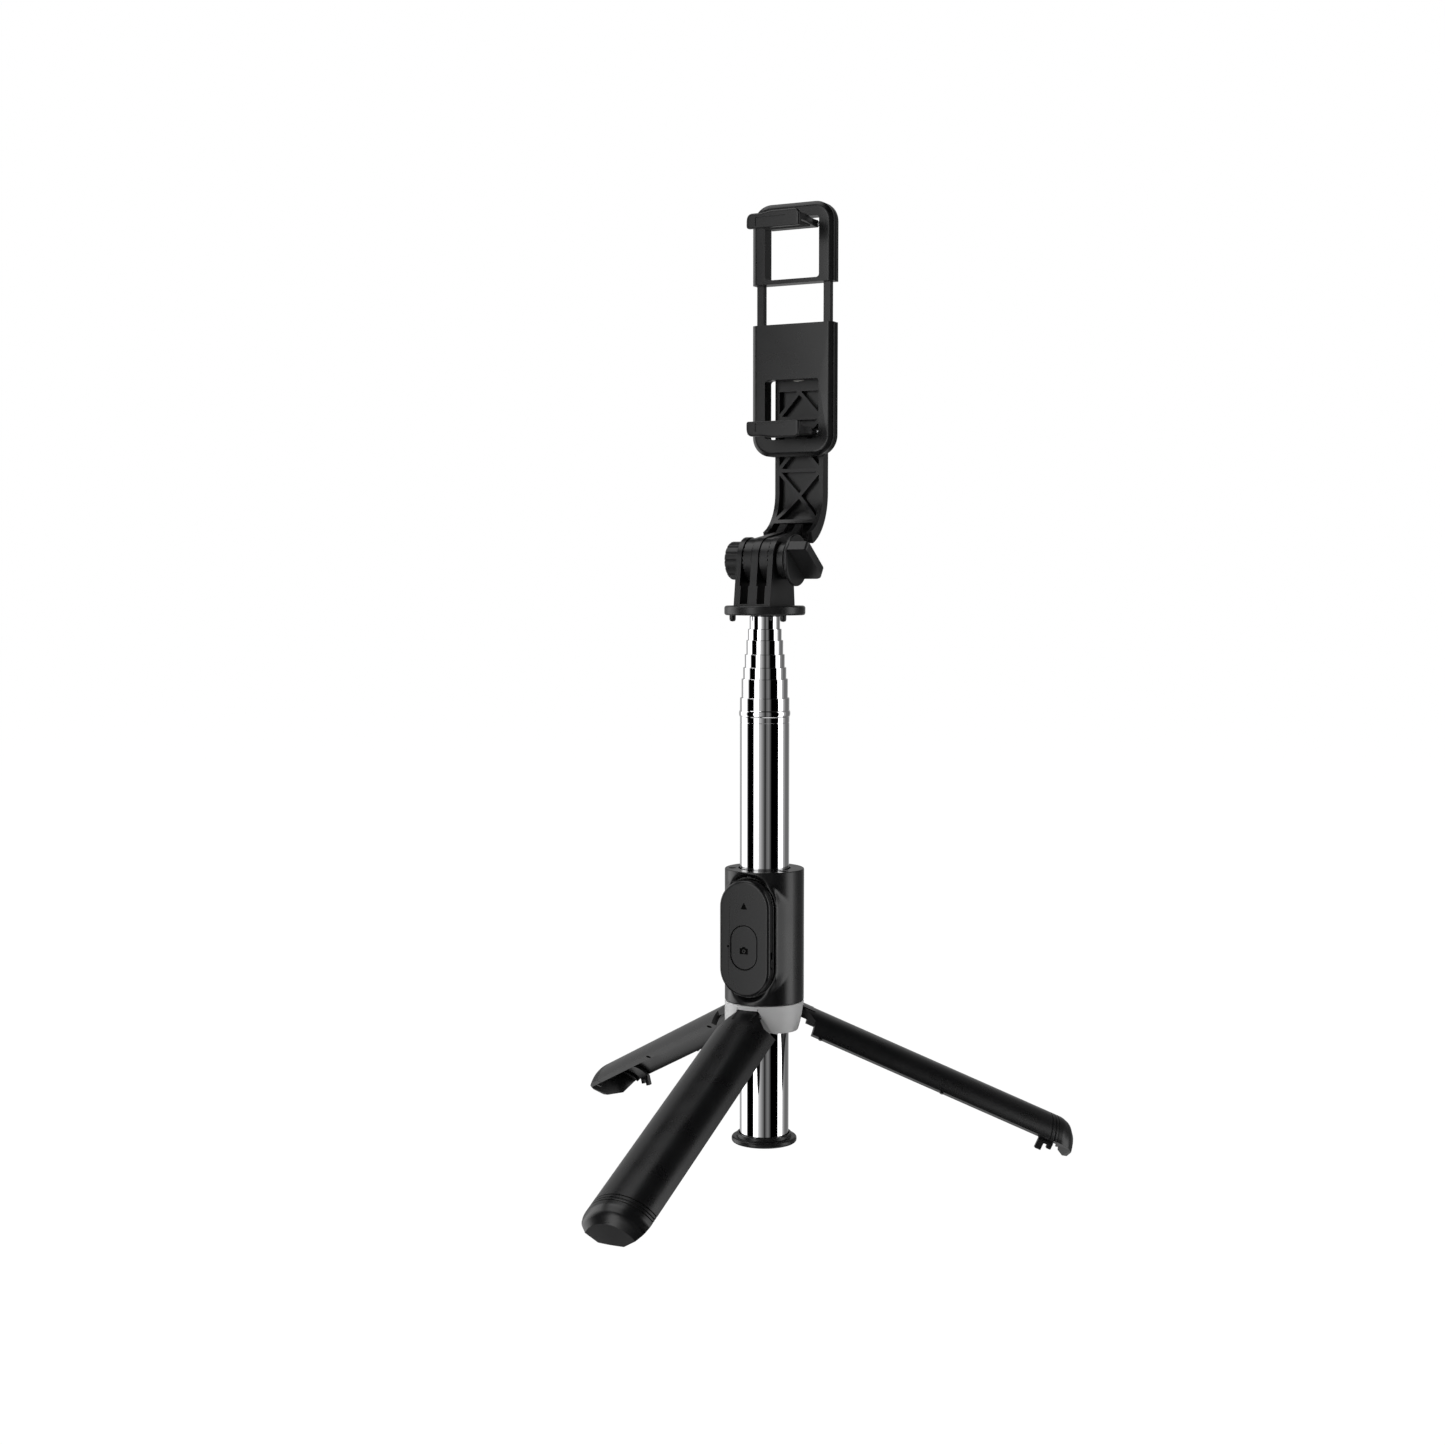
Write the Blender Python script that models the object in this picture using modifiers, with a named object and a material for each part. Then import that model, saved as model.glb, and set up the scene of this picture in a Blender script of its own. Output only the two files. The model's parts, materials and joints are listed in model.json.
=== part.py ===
"""Selfie stick on a folding tripod: telescopic pole, tilting phone clamp and docked remote.

Lengths below are in millimetres and angles in degrees; meshes are made in metres.
+Z runs up the pole, -Y is the side that the remote and the phone's screen face.
The origin is the centre of the base disc's underside, on the pole's axis.
"""

import math

import bmesh
import bpy
from mathutils import Matrix, Vector

MM = 0.001
GAP = 0.3  # between pieces that touch
SLIP = 0.1  # radial clearance of a sliding fit

# ---- driving dimensions -------------------------------------------------------------

HANDLE_R = 15.0
GROUND_Z = -6.4  # the surface that the open legs stand on

# telescopic pole: seven tubes, each inside the one before
TUBE_R = [9.3, 8.7, 8.1, 7.5, 6.9, 6.3, 5.7]
TUBE_TOP = [169.3, 176.4, 180.7, 185.6, 190.9, 195.1, 199.9]
TUBE_WALL = 0.3
PLUG_BOTTOM = [None, 15.4, 25.0, 35.0, 45.5, 55.0, 65.5]
PLUG_FLANGE = 2.0
PLUG_BOSS = 5.0
LIP_HEIGHT = 0.6
BEAD_Z = (162.1, 164.6)
BEAD_R = 9.65
TUBE_SIDES = 20

BASE_R = 12.4
BASE_THICK = 2.1
BASE_RING_R = 10.4
BASE_RING_TOP = 3.4
BASE_PLUG_TOP = 8.0

# tripod collar and legs; a leg is drawn hanging folded, U down from its hinge
COLLAR_Z = (44.1, 54.6)
COLLAR_BORE = 9.7
COLLAR_SCREW_CIRCLE = 12.2
HINGE_RADIUS = 12.5
HINGE_Z = 51.1
LEG_AZIMUTH = {"front": -90.0, "right": 30.0, "left": 150.0}
LEG_OPEN = 65.5
LEG_INNER_R = 12.7
LEG_SECTOR = 120.0
LEG_END = 118.6
FOOT_START = 106.4
FOOT_FLOOR = 116.2
FOOT_TOE_R = 8.0
ROOT_U = 7.3
SHOULDER_U = 1.5
SHOULDER_HALF = 9.1
TONGUE_HALF = 4.1
TONGUE_V = (10.5, 14.7)
TONGUE_END = 6.5
HEEL_V = 10.2  # the shoulders end here, clear of the collar's wall
KNUCKLE_R = 2.2
LEG_PIN_R = 0.9
LEG_PIN_HALF = 6.1
LATCH_U = (103.0, 109.0)
LATCH_SLOT_U = (105.5, 107.1)
PEG_U = (11.0, 61.5)

# handle housing and its docked remote
HOUSING_Z = (54.9, 104.85)
HOUSING_WALL = 1.6
HOUSING_TOP_THICK = 3.0
HOUSING_FLANGE_TOP = 57.5
SLEEVE_R = (9.4, 9.9)
SLEEVE_TOP = 96.5  # just under the bead when the pole is pushed in
TOP_HOLE_R = BEAD_R + GAP
DOCK_PIN_CIRCLE = 12.1
DOCK_PIN_R = 1.2
DOCK_HOLE_R = 1.5
DOCK_ANGLES = (90.0, 210.0, 330.0)
REMOTE_R = 10.3
REMOTE_Z = (58.4, 102.1)
REMOTE_FRONT = -17.5
REMOTE_SPLIT = -14.0
REMOTE_BACK = -11.2
POCKET_FLOOR = -10.9
BEZEL_FRONT = -13.0
BUTTON_R = 5.4
BUTTON_Z = (68.7, 85.2)
SWITCH_Z = (69.2, 75.9)

# head on top of the pole
HEAD_Z = (200.2, 203.8)
HEAD_R = 15.2
PIVOT_Z = 220.6
PRONG_R = 8.8
PRONG_X = ((-7.5, -5.5), (-1.4, 1.4), (5.5, 7.5))
PRONG_BASE_Y = (-11.2, 10.4)
SLOT_STEP_Z = 211.1
KNUCKLE_X = (1.75, 4.85)
ARM_KNUCKLE_R = 8.4
BOLT_R = 2.5
BOLT_X = (-12.0, 12.0)
NUT_CAP_END = -13.7
NUT_CAP_R = 7.2
KNOB_FLANGE = (7.8, 10.8)  # along the bolt
KNOB_FLANGE_R = 7.1
KNOB_DISC = (12.1, 13.5)
KNOB_DISC_R = 9.6
KNOB_HUB_R = 5.0
WING_END = 21.0
WING_HALF = 9.4
WING_THICK = 3.6
WING_TURN = 55.0  # about the bolt, from upright

# tilting arm, a bent channel
ARM_HALF = 10.2
ARM_FRONT_Y = 30.0
ARM_BACK_Y = 34.7
SWIVEL_Z = 296.6
SWIVEL_R = 2.4
CHANNEL_DEPTH = 3.0
FLANGE_W = 1.8
RIB_W = 1.4
BEND_ANGLE = 70.0  # below the straight part
RIB_CROSSES = ((236.7, 256.8), (258.2, 278.3), (279.7, 299.8))  # heights of the crossed ribs

# phone clamp
PLATE_HALF = 17.0
PLATE_Y = (23.0, 28.7)
PLATE_CORNER = 7.7
BODY_Z = (260.8, 311.0)
COVER_Y = 27.5
SLIDER_Z = (326.3, 356.5)
WINDOW_HALF = 11.3
LOWER_WINDOW_Z = (266.3, 290.0)
UPPER_WINDOW_Z = (327.9, 351.0)
RAIL_X = (12.6, 15.4)
RAIL_Y = (24.5, 27.2)
RAIL_BOTTOM = 287.0
CHANNEL_FLOOR = 268.5
JAW_PIN_Y = 25.6
LOWER_PIN_Z = 269.6
UPPER_PIN_Z = 348.2
JAW_HALF = 11.0
LIP_Y = (6.0, 7.8)

# ---- scene and helpers --------------------------------------------------------------

for old in list(bpy.data.objects):
    bpy.data.objects.remove(old, do_unlink=True)

PARTS = bpy.data.collections.new("selfie_stick")
CUTTERS = bpy.data.collections.new("cutters")
bpy.context.scene.collection.children.link(PARTS)
bpy.context.scene.collection.children.link(CUTTERS)


def material(name, colour, roughness, metallic=0.0):
    """A plain Principled BSDF material."""
    made = bpy.data.materials.new(name)
    made.use_nodes = True
    shader = made.node_tree.nodes["Principled BSDF"]
    shader.inputs["Base Color"].default_value = (*colour, 1.0)
    shader.inputs["Roughness"].default_value = roughness
    shader.inputs["Metallic"].default_value = metallic
    return made


BLACK = material("black_plastic", (0.03, 0.03, 0.032), 0.42)
BLACK_SATIN = material("satin_black_plastic", (0.045, 0.045, 0.047), 0.35)
RUBBER = material("black_rubber", (0.035, 0.035, 0.035), 0.8)
GREY = material("grey_satin", (0.33, 0.33, 0.34), 0.4, 0.3)
CHROME = material("chrome", (0.85, 0.85, 0.86), 0.06, 1.0)
STEEL = material("steel", (0.55, 0.55, 0.56), 0.3, 1.0)
NYLON = material("white_nylon", (0.75, 0.75, 0.72), 0.5)
BOARD = material("green_board", (0.02, 0.14, 0.06), 0.5)
CELL = material("nickel_cell", (0.7, 0.7, 0.68), 0.25, 1.0)


def link(name, mesh, collection=CUTTERS):
    """Make an object of a mesh. Cutters are drawn as wire and left out of renders."""
    made = bpy.data.objects.new(name, mesh)
    collection.objects.link(made)
    if collection is CUTTERS:
        made.hide_render = True
        made.display_type = "WIRE"
    return made


def from_bmesh(name, shape):
    """Turn a bmesh in millimetres into an object in metres."""
    bmesh.ops.recalc_face_normals(shape, faces=shape.faces)
    bmesh.ops.scale(shape, vec=(MM, MM, MM), verts=shape.verts)
    mesh = bpy.data.meshes.new(name)
    shape.to_mesh(mesh)
    shape.free()
    return link(name, mesh)


def box(name, x, y, z):
    """A box between two corners, given as (low, high) on each axis."""
    shape = bmesh.new()
    bmesh.ops.create_cube(shape, size=1.0)
    size = (x[1] - x[0], y[1] - y[0], z[1] - z[0])
    middle = ((x[0] + x[1]) / 2, (y[0] + y[1]) / 2, (z[0] + z[1]) / 2)
    bmesh.ops.scale(shape, vec=size, verts=shape.verts)
    bmesh.ops.translate(shape, vec=middle, verts=shape.verts)
    return from_bmesh(name, shape)


TURN = {
    "X": Matrix.Rotation(math.radians(90), 4, "Y"),
    "Y": Matrix.Rotation(math.radians(-90), 4, "X"),
    "Z": Matrix.Identity(4),
}


def cylinder(name, radius, low, high, at=(0, 0, 0), axis="Z", sides=24, top_radius=None):
    """A cylinder or cone along an axis, from low to high measured from the point at."""
    shape = bmesh.new()
    bmesh.ops.create_cone(
        shape,
        cap_ends=True,
        segments=sides,
        radius1=radius,
        radius2=radius if top_radius is None else top_radius,
        depth=high - low,
        matrix=Matrix.Translation((0, 0, (low + high) / 2)),
    )
    place = Matrix.Translation(at) @ TURN[axis]
    bmesh.ops.transform(shape, matrix=place, verts=shape.verts)
    return from_bmesh(name, shape)


def turned(name, profile, sides=TUBE_SIDES, closed=True):
    """A profile of (radius, z) points turned about Z with a Screw modifier.

    The points run down the outer side. A closed profile makes a ring and an open
    one has both ends on the axis.
    """
    mesh = bpy.data.meshes.new(name)
    count = len(profile)
    edges = [(i, (i + 1) % count) for i in range(count if closed else count - 1)]
    mesh.from_pydata([(r * MM, 0.0, z * MM) for r, z in profile], edges, [])
    made = link(name, mesh)
    screw = made.modifiers.new("turn", "SCREW")
    screw.axis = "Z"
    screw.steps = sides
    screw.render_steps = sides
    screw.use_merge_vertices = True
    screw.merge_threshold = 0.00001
    return made


def applied(made):
    """Replace an object's mesh by its evaluated mesh and drop the modifiers."""
    bpy.context.view_layer.update()
    graph = bpy.context.evaluated_depsgraph_get()
    mesh = bpy.data.meshes.new_from_object(made.evaluated_get(graph))
    shape = bmesh.new()
    shape.from_mesh(mesh)
    bmesh.ops.remove_doubles(shape, verts=shape.verts, dist=0.000001)
    shape.to_mesh(mesh)
    shape.free()
    made.modifiers.clear()
    made.data = mesh
    return made


def outline(name, points, low, high, axis="Z"):
    """A flat outline extruded from low to high along an axis.

    The points are (x, y) for Z, (x, z) for Y and (y, z) for X.
    """
    curve = bpy.data.curves.new(name, "CURVE")
    curve.dimensions = "2D"
    curve.fill_mode = "BOTH"
    curve.extrude = (high - low) / 2 * MM
    spline = curve.splines.new("POLY")
    spline.points.add(len(points) - 1)
    for knot, (a, b) in zip(spline.points, points):
        knot.co = (a * MM, b * MM, 0.0, 1.0)
    spline.use_cyclic_u = True
    drawn = link(name, curve)
    bpy.context.view_layer.update()
    graph = bpy.context.evaluated_depsgraph_get()
    mesh = bpy.data.meshes.new_from_object(drawn.evaluated_get(graph))
    bpy.data.objects.remove(drawn)
    shape = bmesh.new()
    shape.from_mesh(mesh)
    bmesh.ops.remove_doubles(shape, verts=shape.verts, dist=0.000001)
    middle = Matrix.Translation((0, 0, (low + high) / 2 * MM))
    frames = {
        "Z": Matrix(((1, 0, 0, 0), (0, 1, 0, 0), (0, 0, 1, 0), (0, 0, 0, 1))),
        "Y": Matrix(((1, 0, 0, 0), (0, 0, 1, 0), (0, 1, 0, 0), (0, 0, 0, 1))),
        "X": Matrix(((0, 0, 1, 0), (1, 0, 0, 0), (0, 1, 0, 0), (0, 0, 0, 1))),
    }
    bmesh.ops.transform(shape, matrix=frames[axis] @ middle, verts=shape.verts)
    bmesh.ops.recalc_face_normals(shape, faces=shape.faces)
    shape.to_mesh(mesh)
    shape.free()
    return link(name, mesh)


def hull(name, rings):
    """The convex body around rings of points."""
    shape = bmesh.new()
    for ring in rings:
        for point in ring:
            shape.verts.new(point)
    found = bmesh.ops.convex_hull(shape, input=shape.verts)
    loose = [v for v in found["geom_interior"] if isinstance(v, bmesh.types.BMVert)]
    bmesh.ops.delete(shape, geom=loose, context="VERTS")
    return from_bmesh(name, shape)


def combine(made, other, operation):
    """Add a Boolean modifier and return the object."""
    step = made.modifiers.new(other.name, "BOOLEAN")
    step.operation = operation
    step.object = other
    return made


def cut(made, *cutters):
    """Cut shapes away from an object."""
    for cutter in cutters:
        combine(made, cutter, "DIFFERENCE")
    return made


def join(made, *others):
    """Join shapes to an object."""
    for other in others:
        combine(made, other, "UNION")
    return made


def keep(made, *others):
    """Keep only what an object shares with each other shape."""
    for other in others:
        combine(made, other, "INTERSECT")
    return made


def finish(made, name, look, parent=None, origin=None):
    """Make an object a part: final mesh, name, material, origin and smooth shading."""
    applied(made)
    mesh = made.data
    if origin is not None:
        mesh.transform(Matrix.Translation(Vector(origin) * -MM))
        made.location = Vector(origin) * MM
    mesh.materials.clear()
    mesh.materials.append(look)
    mesh.shade_smooth()
    mesh.set_sharp_from_angle(angle=math.radians(35))
    CUTTERS.objects.unlink(made)
    PARTS.objects.link(made)
    made.hide_render = False
    made.display_type = "TEXTURED"
    made.name = name
    mesh.name = name
    if parent is not None:
        made.parent = parent
    return made


def arc(centre, radius, start, end, steps):
    """Points on an arc, both ends included."""
    angles = [math.radians(start + (end - start) * i / steps) for i in range(steps + 1)]
    return [
        (centre[0] + radius * math.cos(a), centre[1] + radius * math.sin(a)) for a in angles
    ]


def stadium(half_width, low, high, steps=8):
    """An upright slot outline as (x, z) points."""
    upper = arc((0, high - half_width), half_width, 0, 180, steps)
    lower = arc((0, low + half_width), half_width, 180, 360, steps)
    return upper + lower


def rounded(half_width, low, high, corner, top=True, bottom=True, steps=5):
    """A rectangle with rounded corners at the top, the bottom or both."""
    points = []
    if top:
        points += arc((half_width - corner, high - corner), corner, 0, 90, steps)
        points += arc((-half_width + corner, high - corner), corner, 90, 180, steps)
    else:
        points += [(half_width, high), (-half_width, high)]
    if bottom:
        points += arc((-half_width + corner, low + corner), corner, 180, 270, steps)
        points += arc((half_width - corner, low + corner), corner, 270, 360, steps)
    else:
        points += [(-half_width, low), (half_width, low)]
    return points


def around(radius, degrees):
    """A point on a circle about the pole."""
    angle = math.radians(degrees)
    return radius * math.cos(angle), radius * math.sin(angle)


def spin(made, degrees):
    """Turn an object's mesh about the pole's axis."""
    made.data.transform(Matrix.Rotation(math.radians(degrees), 4, "Z"))
    return made


# ---- pole ---------------------------------------------------------------------------


def tube_profile(level):
    """A tube's closed profile: outer side down, bore up, crimped lip at the top."""
    outer = TUBE_R[level]
    inner = outer - TUBE_WALL
    top = TUBE_TOP[level]
    if level == 0:
        bottom = BASE_THICK + GAP
        lip = TUBE_R[1] + SLIP
    else:
        bottom = PLUG_BOTTOM[level] + PLUG_FLANGE + GAP
        lip = TUBE_R[level + 1] + SLIP if level < 6 else inner
    profile = [(outer, top)]
    if level == 0:
        low, high = BEAD_Z
        profile += [(outer, high), (BEAD_R, high - 0.6), (BEAD_R, low + 0.6), (outer, low)]
    profile += [(outer, bottom), (inner, bottom)]
    if lip < inner:
        profile += [(inner, top - LIP_HEIGHT - 0.3), (lip, top - LIP_HEIGHT), (lip, top)]
    else:
        profile += [(inner, top)]
    return profile


def build_pole():
    """The outer tube with its base disc, and six tubes with their friction plugs."""
    finish(turned("tube", tube_profile(0)), "outer_tube", CHROME)
    edge = 0.5
    ring_in = TUBE_R[0] + GAP
    plug = TUBE_R[0] - TUBE_WALL - SLIP
    base = [
        (0, BASE_PLUG_TOP),
        (plug - 0.6, BASE_PLUG_TOP),
        (plug, BASE_PLUG_TOP - 0.6),
        (plug, BASE_THICK),
        (ring_in, BASE_THICK),
        (ring_in, BASE_RING_TOP),
        (BASE_RING_R, BASE_RING_TOP),
        (BASE_RING_R, BASE_THICK),
        (BASE_R - edge, BASE_THICK),
        (BASE_R, BASE_THICK - edge),
        (BASE_R, edge),
        (BASE_R - edge, 0),
        (0, 0),
    ]
    finish(turned("base", base, closed=False), "base_disc", BLACK)
    for level in range(1, 7):
        finish(turned("tube", tube_profile(level)), f"pole_tube_{level + 1}", CHROME)
        flange = TUBE_R[level - 1] - TUBE_WALL - SLIP
        boss = TUBE_R[level] - TUBE_WALL - SLIP
        low = PLUG_BOTTOM[level]
        bore = boss - 1.6
        plug_profile = [
            (boss, low + PLUG_BOSS),
            (boss, low + PLUG_FLANGE),
            (flange, low + PLUG_FLANGE),
            (flange, low),
            (bore, low),
            (bore, low + PLUG_BOSS),
        ]
        finish(turned("plug", plug_profile), f"friction_plug_{level + 1}", NYLON)


# ---- tripod collar, housing and remote ----------------------------------------------


def build_collar():
    """The grey collar that carries the three leg hinges, with their pins and screws."""
    low, high = COLLAR_Z
    profile = [
        (HANDLE_R, high),
        (HANDLE_R, low + 0.5),
        (HANDLE_R - 0.5, low),
        (COLLAR_BORE, low),
        (COLLAR_BORE, high),
    ]
    collar = turned("collar", profile, sides=36)
    strip_z = 52.9
    strip_r = 14.4
    roof_z = HINGE_Z + KNUCKLE_R + GAP
    half = TONGUE_HALF + GAP
    for side, azimuth in LEG_AZIMUTH.items():
        turn = azimuth - 90
        pocket = box("pocket", (-half, half), (10.1, strip_r), (strip_z - 1, roof_z))
        mouth_points = [
            (-half, strip_z),
            (-SHOULDER_HALF - GAP, low),
            (-SHOULDER_HALF - GAP, low - 1),
            (SHOULDER_HALF + GAP, low - 1),
            (SHOULDER_HALF + GAP, low),
            (half, strip_z),
        ]
        mouth = outline("mouth", mouth_points, 9.9, 17, "Y")
        at = (0, HINGE_RADIUS, HINGE_Z)
        reach = LEG_PIN_HALF + 0.1
        hole = cylinder("hole", LEG_PIN_R + 0.06, -reach, reach, at, "X", 12)
        pin = cylinder("pin", LEG_PIN_R, -LEG_PIN_HALF, LEG_PIN_HALF, at, "X", 12)
        opening = applied(join(mouth, pocket, hole))
        cut(collar, spin(opening, turn))
        finish(spin(pin, turn), f"leg_hinge_pin_{side}", STEEL)
    for number, azimuth in enumerate(DOCK_ANGLES, 1):
        x, y = around(COLLAR_SCREW_CIRCLE, azimuth)
        at = (x, y, 0)
        cut(collar, cylinder("screw_hole", 1.2, low - 1, high + 1, at, sides=12))
        cut(collar, cylinder("screw_sink", 2.1, low - 1, low + 2.3, at, sides=12))
        shank = cylinder("shank", 0.9, low + 1.5, HOUSING_FLANGE_TOP - 0.4, at, sides=12)
        head = cylinder("head", 1.9, low + 0.3, low + 2.0, at, sides=12)
        socket = cylinder("socket", 0.8, low - 1, low + 1.2, at, sides=6)
        finish(cut(join(head, shank), socket), f"collar_screw_{number}", STEEL)
    finish(collar, "tripod_collar", GREY)


def build_housing():
    """The handle housing with the remote's pocket, and the sleeve that guides the pole."""
    low, high = HOUSING_Z
    edge = 0.4
    body_profile = [
        (0, high),
        (HANDLE_R - edge, high),
        (HANDLE_R, high - edge),
        (HANDLE_R, low),
        (0, low),
    ]
    housing = turned("housing", body_profile, sides=36, closed=False)
    foot, head = REMOTE_Z
    rise = 1.3
    spread = 2.5
    front_ring = stadium(REMOTE_R + rise, foot - rise, head + rise)
    back_ring = stadium(REMOTE_R + spread, foot - spread, head + spread)
    rings = [
        [(x, BEZEL_FRONT, z) for x, z in front_ring],
        [(x, -7.5, z) for x, z in back_ring],
    ]
    join(housing, hull("bezel", rings))
    inner_top = high - HOUSING_TOP_THICK
    inner_r = HANDLE_R - HOUSING_WALL
    cavity = cylinder("cavity", inner_r, HOUSING_FLANGE_TOP, inner_top, sides=36)
    pocket_wall = stadium(REMOTE_R + rise, foot - rise, head + rise)
    cut(cavity, outline("pocket_block", pocket_wall, -20, POCKET_FLOOR + 0.7, "Y"))
    cut(housing, cavity)
    pocket = stadium(REMOTE_R + GAP, foot - GAP, head + GAP)
    cut(housing, outline("pocket", pocket, -20, POCKET_FLOOR, "Y"))
    cut(housing, cylinder("top_hole", TOP_HOLE_R, inner_top - 1, high + 1))
    cut(housing, cylinder("bore", SLEEVE_R[1] + GAP, low - 1, HOUSING_FLANGE_TOP + 1))
    for azimuth in DOCK_ANGLES:
        x, y = around(DOCK_PIN_CIRCLE, azimuth)
        cut(housing, cylinder("dock_hole", DOCK_HOLE_R, inner_top - 1, high + 1, (x, y, 0), sides=12))
        x, y = around(COLLAR_SCREW_CIRCLE, azimuth)
        cut(housing, cylinder("thread", 1.05, low - 1, HOUSING_FLANGE_TOP + 1, (x, y, 0), sides=12))
    finish(housing, "handle_housing", BLACK_SATIN)
    sleeve = [
        (SLEEVE_R[1], SLEEVE_TOP),
        (SLEEVE_R[1], low + GAP),
        (SLEEVE_R[0], low + GAP),
        (SLEEVE_R[0], SLEEVE_TOP),
    ]
    finish(turned("sleeve", sleeve), "guide_sleeve", NYLON)


def build_remote():
    """The docked remote: two shells, button, switch, board, cell and key dome."""
    low, high = REMOTE_Z
    wall = 1.0
    skin = outline("skin", stadium(REMOTE_R, low, high), REMOTE_FRONT, REMOTE_SPLIT, "Y")
    inside = stadium(REMOTE_R - wall, low + wall, high - wall)
    cut(skin, outline("hollow", inside, REMOTE_FRONT + wall, REMOTE_SPLIT + 1, "Y"))
    clear = 0.15
    opening = stadium(BUTTON_R + clear, BUTTON_Z[0] - clear, BUTTON_Z[1] + clear)
    cut(skin, outline("opening", opening, REMOTE_FRONT - 1, REMOTE_FRONT + 2 * wall, "Y"))
    cut(skin, box("switch_slot", (REMOTE_R - 1.5, REMOTE_R + 1), (-15.9, -14.4), SWITCH_Z))
    bevel = applied(skin).modifiers.new("edge", "BEVEL")
    bevel.width = 0.5 * MM
    bevel.segments = 1
    bevel.limit_method = "ANGLE"
    bevel.angle_limit = math.radians(60)
    finish(skin, "remote_front_shell", BLACK_SATIN)
    rear = outline("rear", stadium(REMOTE_R, low, high), REMOTE_SPLIT + GAP, REMOTE_BACK, "Y")
    cut(rear, outline("rear_hollow", inside, REMOTE_SPLIT - 1, REMOTE_BACK - wall, "Y"))
    finish(rear, "remote_rear_shell", BLACK_SATIN)
    button = outline("button", stadium(BUTTON_R, *BUTTON_Z), -17.45, -15.9, "Y")
    rim = 0.7
    flange = stadium(BUTTON_R + rim, BUTTON_Z[0] - rim, BUTTON_Z[1] + rim)
    join(button, outline("flange", flange, -16.2, -15.9, "Y"))
    finish(button, "shutter_button", BLACK_SATIN)
    middle = (BUTTON_Z[0] + BUTTON_Z[1]) / 2
    finish(cylinder("dome", 2.5, -15.3, -15.1, (0, 0, middle), "Y", 16), "key_dome", STEEL)
    board = stadium(REMOTE_R - wall - GAP, low + wall + GAP, high - wall - GAP)
    finish(outline("board", board, -14.9, -14.1, "Y"), "circuit_board", BOARD)
    finish(cylinder("cell", 8.0, -13.9, -12.5, (0, 0, 82), "Y", 24), "coin_cell", CELL)
    slider = box("slider", (9.2, 10.55), (-15.7, -14.6), (70.0, 73.0))
    finish(slider, "power_switch", BLACK)


# ---- legs ---------------------------------------------------------------------------


def sector(name, radius_in, radius_out, start, end, low, high, steps):
    """A ring sector about the pole, between two angles from the +Y crown."""
    outer = arc((0, 0), radius_out, 90 + start, 90 + end, steps)
    inner = arc((0, 0), radius_in, 90 + end, 90 + start, steps)
    return outline(name, outer + inner, low, high, "Z")


def ground_cutter(name):
    """What lies under the ground when a leg that hangs folded is swung open."""
    block = box(name, (-30, 30), (-80, 80), (-60, 0))
    under = Matrix.Translation((0, LEG_END * MM, GROUND_Z * MM))
    hinge = Matrix.Translation((0, HINGE_RADIUS * MM, HINGE_Z * MM))
    swing = Matrix.Rotation(math.radians(-LEG_OPEN), 4, "X")
    block.data.transform(hinge @ swing @ hinge.inverted() @ under)
    return block


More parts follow.
